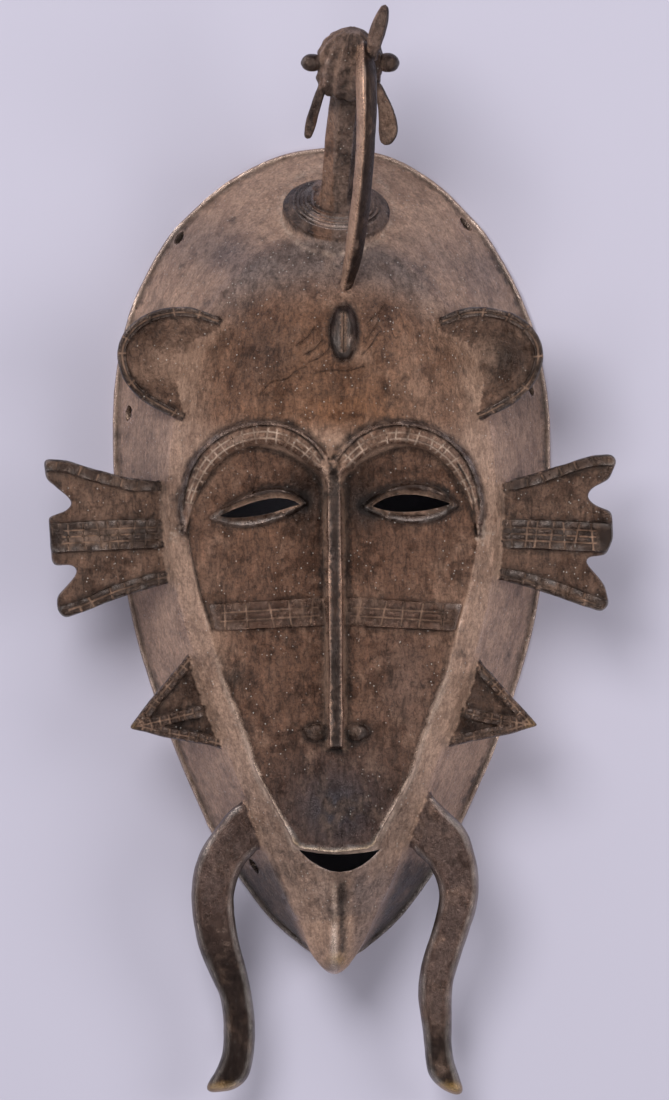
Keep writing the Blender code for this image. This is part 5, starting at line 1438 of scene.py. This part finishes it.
def paint(data):
    """Stores each point's colour, and how bare the metal is there."""
    points, ends = coordinates(data), edge_ends(data)
    x, y, z = points.T
    normals = np.array([n.vector for n in data.vertex_normals])
    low, high = piece_of(data)
    on_body, on_bowl_top, on_leg = low == 0, high == 0, high == PIECES.index("leg")
    face = body_colours(x, y)
    colours = np.where(on_body[:, None], face, limb_colours(x, y, z, normals, high, face))
    hollow = np.sum((around_mean(points, ends) - points) * normals, axis=1)
    for _ in range(2):
        hollow = around_mean(hollow, ends)[:, 0] * 0.5 + hollow * 0.5

    # Speckled dust and dark patches, painted shade in the hollows, and pale dust in the incised lines
    grooves = FACE_GROOVES + LIMB_GROOVES
    hatch = (normals[:, 2] > 0.2) * (high < PIECES.index("bird"))
    cut = incised(x, y, grooves, half=GROOVE_HALF * 1.25) * hatch
    hatched = incised(x, y, grooves, half=GROOVE_HALF * 4.5) * hatch
    mottle = noises(points, MOTTLE)
    streak = noise(points * (1.0, 0.16, 1.0), 1.1, 12) + 0.6 * noise(points * (1.0, 0.25, 1.0), 2.4, 13)
    brow = np.min([nearest(x, y, line, reach=6.0)[0] for line, _, _ in BROWS.values()], axis=0) < 5
    uneven = np.clip(0.75 + 0.9 * noise(points, *HATCH_NOISE), 0, 1)
    strength = np.where(brow & on_bowl_top, 1.0, 0.72) * uneven
    strength = strength * np.where(high == PIECES.index("fin"), 0.4 + 0.9 * ramp(np.abs(x), 60.0, 67.0), 1.0)
    crease = incised(x, y, FACE_CREASES, half=GROOVE_HALF * 1.3) * on_bowl_top
    faint = (y > FAINT_CREASES[0]) & (y < FAINT_CREASES[1])
    faded = np.where(faint, 0.45, 0.9) * np.clip(0.8 + 0.8 * noise(points, *CREASE_NOISE), 0, 1)
    layers = [
        (DARK, 0.5 * ramp(mottle, 0.05, 0.9) + 0.2 * ramp(streak, 0.1, 1.2)),
        (DUST_AND_PAINTED_LIGHT, 0.3 * ramp(-mottle, 0.1, 0.9) + 0.12 * ramp(-streak, 0.2, 1.2)),
        # Painted shade in the concave places of the surface
        (DARK, 0.75 * ramp(hollow, 0.03, 0.13) * (0.7 + 0.5 * noise(points, *HOLLOW_NOISE))),
        (DUST_AND_PAINTED_LIGHT * 1.15, 0.7 * crumbly(x, y) * on_bowl_top * ramp(noise(points, *CRUMB_NOISE), -0.1, 0.5)),
        (np.where(brow[:, None], PALE, DUST_AND_PAINTED_LIGHT), strength * ramp(cut, 0.4, 0.85)),
        (DARK * 0.6, faded * ramp(crease, 0.2, 0.7))]

    # The face panel's painted highlight on its lower edges and its dark foot, the collar's crumbs and the
    # bare edges with a painted silver highlight
    panel = depth_inside(x, y, PANEL, reach=4.0)
    lower = on_body * ramp(-y, 30.0, 48.0)
    groove = on_body * ramp(-y, -12.0, -4.0) * (1 - ramp(-y, 22.0, 30.0)) * (x < 0)
    collar = np.hypot(x - NECK_FOOT[0], (y - NECK_FOOT[1]) / 0.8) - real(COLLAR_DIAMETER) / 2
    edge = ramp(-hollow, 0.05, 0.2) * (0.6 + 0.4 * noise(points, *EDGE_NOISE))
    calm = on_body & (y > CALM_FOOT) & (np.abs(x) < CALM_HALF)
    share = np.where(calm, 0.35, 1.0) * np.where(on_leg, 1.25, 1)
    layers += [
        # Painted highlight along the lower edges of the face panel
        (PALE * 1.1, 0.95 * lower * bell(panel, -0.3, 0.75) * (0.9 + 0.5 * mottle)),
        (DARK, 0.8 * lower * bell(panel, 1.1, 0.6)),
        (DARK * 0.7, 0.9 * groove * bell(panel, 0.2, 0.6)),
        (PALE, 0.7 * on_body * bell(collar, 0.7, 0.9) * ramp(noise(points, *COLLAR_NOISE), -0.4, 0.3)),
        # Painted silver highlight, partly worn metal, on the convex edges
        (SILVER_WEAR_AND_HIGHLIGHT, 0.4 * edge * share * (1 - 0.85 * np.clip(hatched, 0, 1)))]

    # Painted shade in the hollows beside the nose, its worn ridge, a painted silver highlight on the rim,
    # partly worn metal, and the inside
    layers += [(DARK, 0.65 * on_body * spot(x, y, centre, half)) for centre, half in SOCKET_SHADES]
    ridge = on_body * (off_nose(x, y) < 1.8) * (y > NOSE_TIP - 0.5) * (y < NOSE_TOP - 4)
    rim = (1 - ramp(depth_inside(x, y, RIM, reach=4.0), 0.6, 2.0)) * (z < 6.0)
    under = (low == PIECES.index("inside")) | ((normals[:, 2] < -0.3) & (z > 0.5))
    layers += [(DARK, 0.8 * ridge * (1 - ramp(noise(points, *RIDGE_NOISE), 0.2, 0.9))),
               # Painted silver highlight, partly worn metal, on the rim
               (SILVER_WEAR_AND_HIGHLIGHT, 0.3 * rim),
               (INSIDE_BROWN, 0.9 * under)]
    colours = layered(colours, layers)
    tint = data.color_attributes.new("tint", "FLOAT_COLOR", "POINT")
    tint.data.foreach_set("color", np.column_stack((np.clip(colours, 0, 1), np.ones(len(x)))).ravel())

    dark = 1 - ramp(colours.mean(axis=1), 0.02, 0.11)
    smooth = on_leg | (high == PIECES.index("beak"))
    shine = 0.4 * ramp(-hollow, 0.0, 0.08) + 0.6 * edge + 0.4 * rim + 0.8 * dark + 0.45 * smooth
    shine = np.clip(shine, 0, 1) * ((1 - cut) * (1 - 0.7 * ramp(hollow, 0.03, 0.12)))
    data.attributes.new("bare", "FLOAT", "POINT").data.foreach_set("value", shine)


# Sizes of the metal's clouds in metres, and how many dust specks and pits lie along a metre
PATCH_SIZE = 0.009
FLECK_SIZE = 0.0022
SCRATCH_SIZE = 0.0018
GRAIN_SIZE = 0.0008
SPECK_RATE = 560.0
PIT_RATE = 420.0
BUMP_HEIGHT = 0.0012

# Tints of the metal's darker and brighter places, as factors of its colour
SHADE_TINT = (1.0, 0.93, 0.89)
BRIGHT_TINT = (1.7, 1.66, 1.64, 1)
SPECK_COLOUR = (*tone(226, 218, 210), 1)


class Nodes:
    """Short way to add and link the nodes of one material."""

    def __init__(self, material):
        material.use_nodes = True
        self.tree = material.node_tree
        self.shader = self.tree.nodes["Principled BSDF"]

    def add(self, kind, settings=(), **inputs):
        node = self.tree.nodes.new(kind)
        for name, value in dict(settings).items():
            setattr(node, name, value)
        for name, value in inputs.items():
            self.set(node, name.replace("_", " "), value)
        return node

    def set(self, node, name, value):
        socket = node.inputs[int(name)] if name.isdigit() else node.inputs[name]
        if isinstance(value, bpy.types.NodeSocket):
            self.tree.links.new(value, socket)
        else:
            socket.default_value = value


def bronze():
    """Old cast bronze: the painted colours with mottling, streaks, grain, dust specks and small pits."""
    material = bpy.data.materials.new("aged_bronze")
    nodes = Nodes(material)
    place = nodes.add("ShaderNodeTexCoord").outputs["Object"]

    def clouds(size, detail, rough, stretch=None, bent=0.0):
        vector = place
        if stretch:
            scaled = nodes.add("ShaderNodeVectorMath", {"operation": "MULTIPLY"})
            nodes.tree.links.new(place, scaled.inputs[0])
            scaled.inputs[1].default_value = stretch
            vector = scaled.outputs[0]
        return nodes.add("ShaderNodeTexNoise", Vector=vector, Scale=1 / size, Detail=detail,
                         Roughness=rough, Distortion=bent).outputs["Fac"]

    def spread(value, low, high, first=0.0, last=1.0):
        node = nodes.add("ShaderNodeMapRange", Value=value)
        for name, number in (("From Min", low), ("From Max", high), ("To Min", first), ("To Max", last)):
            node.inputs[name].default_value = number
        return node.outputs["Result"]

    def math_node(operation, first, second):
        node = nodes.add("ShaderNodeMath", {"operation": operation})
        nodes.set(node, "0", first)
        nodes.set(node, "1", second)
        return node.outputs[0]

    def blend(share, first, second, kind="MIX"):
        node = nodes.add("ShaderNodeMix", {"data_type": "RGBA", "blend_type": kind})
        nodes.set(node, "0", share)
        nodes.set(node, "6", first)
        nodes.set(node, "7", second)
        return node.outputs[2]

    tint = nodes.add("ShaderNodeAttribute", {"attribute_name": "tint"}).outputs["Color"]
    bare = nodes.add("ShaderNodeAttribute", {"attribute_name": "bare"}).outputs["Fac"]
    patches = clouds(PATCH_SIZE, 8, 0.72)
    flecks = clouds(FLECK_SIZE, 6, 0.78)
    grain = clouds(GRAIN_SIZE, 3, 0.7)
    scratches = clouds(SCRATCH_SIZE, 5, 0.75, stretch=(1.0, 0.3, 1.0), bent=1.2)

    def darkened(colour, share, depth):
        shade = (*(depth * part for part in SHADE_TINT), 1)
        return blend(share, colour, blend(1.0, colour, shade, "MULTIPLY"))

    patched = darkened(tint, spread(patches, 0.5, 0.58, 0.0, 0.85), 0.58)
    flecked = darkened(patched, spread(flecks, 0.52, 0.6, 0.0, 0.8), 0.5)
    scratched = darkened(flecked, spread(scratches, 0.52, 0.6, 0.0, 0.9), 0.48)
    bright = blend(1.0, scratched, BRIGHT_TINT, "MULTIPLY")
    lit = blend(spread(scratches, 0.46, 0.36, 0.0, 0.6), scratched, bright)
    grained = darkened(lit, spread(grain, 0.5, 0.6, 0.0, 0.8), 0.55)
    luminance = nodes.add("ShaderNodeRGBToBW", Color=tint).outputs[0]
    calm = math_node("ADD", spread(luminance, 0.1, 0.3, 0.0, 0.35), spread(bare, 0.3, 0.9, 0.0, 0.45))
    grained = blend(calm, grained, tint)
    specks = nodes.add("ShaderNodeTexVoronoi", Vector=place, Scale=SPECK_RATE).outputs["Distance"]
    dusty = math_node("MULTIPLY", spread(specks, 0.08, 0.15, 1.0, 0.0), spread(patches, 0.47, 0.53))
    dusty = math_node("MULTIPLY", dusty, spread(bare, 0.2, 0.5, 0.75, 0.1))
    nodes.set(nodes.shader, "Base Color", blend(dusty, grained, SPECK_COLOUR))
    worn = math_node("ADD", bare, spread(patches, 0.5, 0.6, 0.0, 0.3))
    rough = math_node("ADD", spread(worn, 0.0, 1.0, 0.5, 0.18), spread(grain, 0.3, 0.7, -0.08, 0.1))
    nodes.set(nodes.shader, "Roughness", rough)
    nodes.set(nodes.shader, "Metallic", spread(worn, 0.0, 1.0, 0.1, 0.85))
    nodes.set(nodes.shader, "Specular IOR Level", 0.6)
    pits = nodes.add("ShaderNodeTexVoronoi", Vector=place, Scale=PIT_RATE).outputs["Distance"]
    relief = math_node("ADD", math_node("MULTIPLY", grain, 0.35),
                       math_node("MULTIPLY", spread(pits, 0.0, 0.25), 0.35))
    relief = math_node("ADD", relief, flecks)
    relief = math_node("SUBTRACT", relief, math_node("MULTIPLY", scratches, 1.2))
    bump = nodes.add("ShaderNodeBump", Strength=spread(bare, 0.1, 0.9, 1.0, 0.35), Distance=BUMP_HEIGHT,
                     Height=relief)
    nodes.tree.links.new(bump.outputs[0], nodes.shader.inputs["Normal"])
    return material


def centred(mask):
    """Moves the casting so that its outline's middle lies where the solid's does."""
    points = coordinates(mask.data) * SCALE * METRE
    own = (points.min(axis=0) + points.max(axis=0)) / 2
    solid = (np.array(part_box("mask")[0]) + np.array(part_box("mask")[1])) / 2
    mask.data.transform(Matrix.Translation((solid[0] - own[0], solid[1] - own[1], 0.0)))


# Studio, in metres and watts
FLOOR_SIZE = 3.0
FLOOR_LEVEL = -0.0001
FLOOR_COLOUR = tone(193, 189, 205)
FLOOR_ROUGHNESS = 0.9
ROOM_COLOUR = (0.87, 0.86, 0.9)
ROOM_STRENGTH = 0.4
LIGHTS = [("key", (-0.34, 0.48, 1.05), 0.65, 9.2), ("side", (0.8, 0.05, 0.75), 0.6, 3.4),
          ("low", (-0.1, -0.8, 0.8), 0.4, 1.7)]
CAMERA_HEIGHT = 12.0
FACE_LEVEL = 0.045
FRAME_LENGTH = 0.3525
FRAME_CENTRE = (0.00145, 0.0003)


def placed(name, data, place):
    """A new object of the scene at a place."""
    thing = bpy.data.objects.new(name, data)
    thing.location = place
    bpy.context.scene.collection.objects.link(thing)
    return thing


def studio():
    """Pale floor, soft light from above and the camera that looks straight down."""
    paper = bpy.data.materials.new("pale_paper")
    paper.use_nodes = True
    shader = paper.node_tree.nodes["Principled BSDF"]
    shader.inputs["Base Color"].default_value = (*FLOOR_COLOUR, 1)
    shader.inputs["Roughness"].default_value = FLOOR_ROUGHNESS
    floor_mesh = bpy.data.meshes.new("floor")
    corners = [(across * FLOOR_SIZE / 2, along * FLOOR_SIZE / 2, FLOOR_LEVEL)
               for across, along in ((-1, -1), (1, -1), (1, 1), (-1, 1))]
    floor_mesh.from_pydata(corners, [], [(0, 1, 2, 3)])
    floor_mesh.materials.append(paper)
    placed("floor", floor_mesh, (0, 0, 0))
    for name, place, size, power in LIGHTS:
        light = bpy.data.lights.new(name, "AREA")
        light.shape = "DISK"
        light.size = size
        light.energy = power
        placed(name, light, place).rotation_euler = (-Vector(place)).to_track_quat("-Z", "Y").to_euler()
    world = bpy.data.worlds.new("room")
    world.use_nodes = True
    background = world.node_tree.nodes["Background"]
    background.inputs["Color"].default_value = (*ROOM_COLOUR, 1)
    background.inputs["Strength"].default_value = ROOM_STRENGTH
    bpy.context.scene.world = world
    lens = bpy.data.cameras.new("camera")
    lens.sensor_fit = "VERTICAL"
    lens.lens = lens.sensor_height * (CAMERA_HEIGHT - FACE_LEVEL) / FRAME_LENGTH
    bpy.context.scene.camera = placed("camera", lens, (*FRAME_CENTRE, CAMERA_HEIGHT))
    bpy.context.scene.view_settings.view_transform = "Standard"


# Edges that turn by more than this many degrees stay sharp
SHARP_ANGLE = 55

mask = cast()
weather(mask.data)
paint(mask.data)
mask.data.polygons.foreach_set("material_index", [0] * len(mask.data.polygons))
mask.data.materials.clear()
mask.data.materials.append(bronze())
mask.data.shade_smooth()
mask.data.set_sharp_from_angle(angle=math.radians(SHARP_ANGLE))
centred(mask)
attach(mask, "root")
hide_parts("mask")
studio()
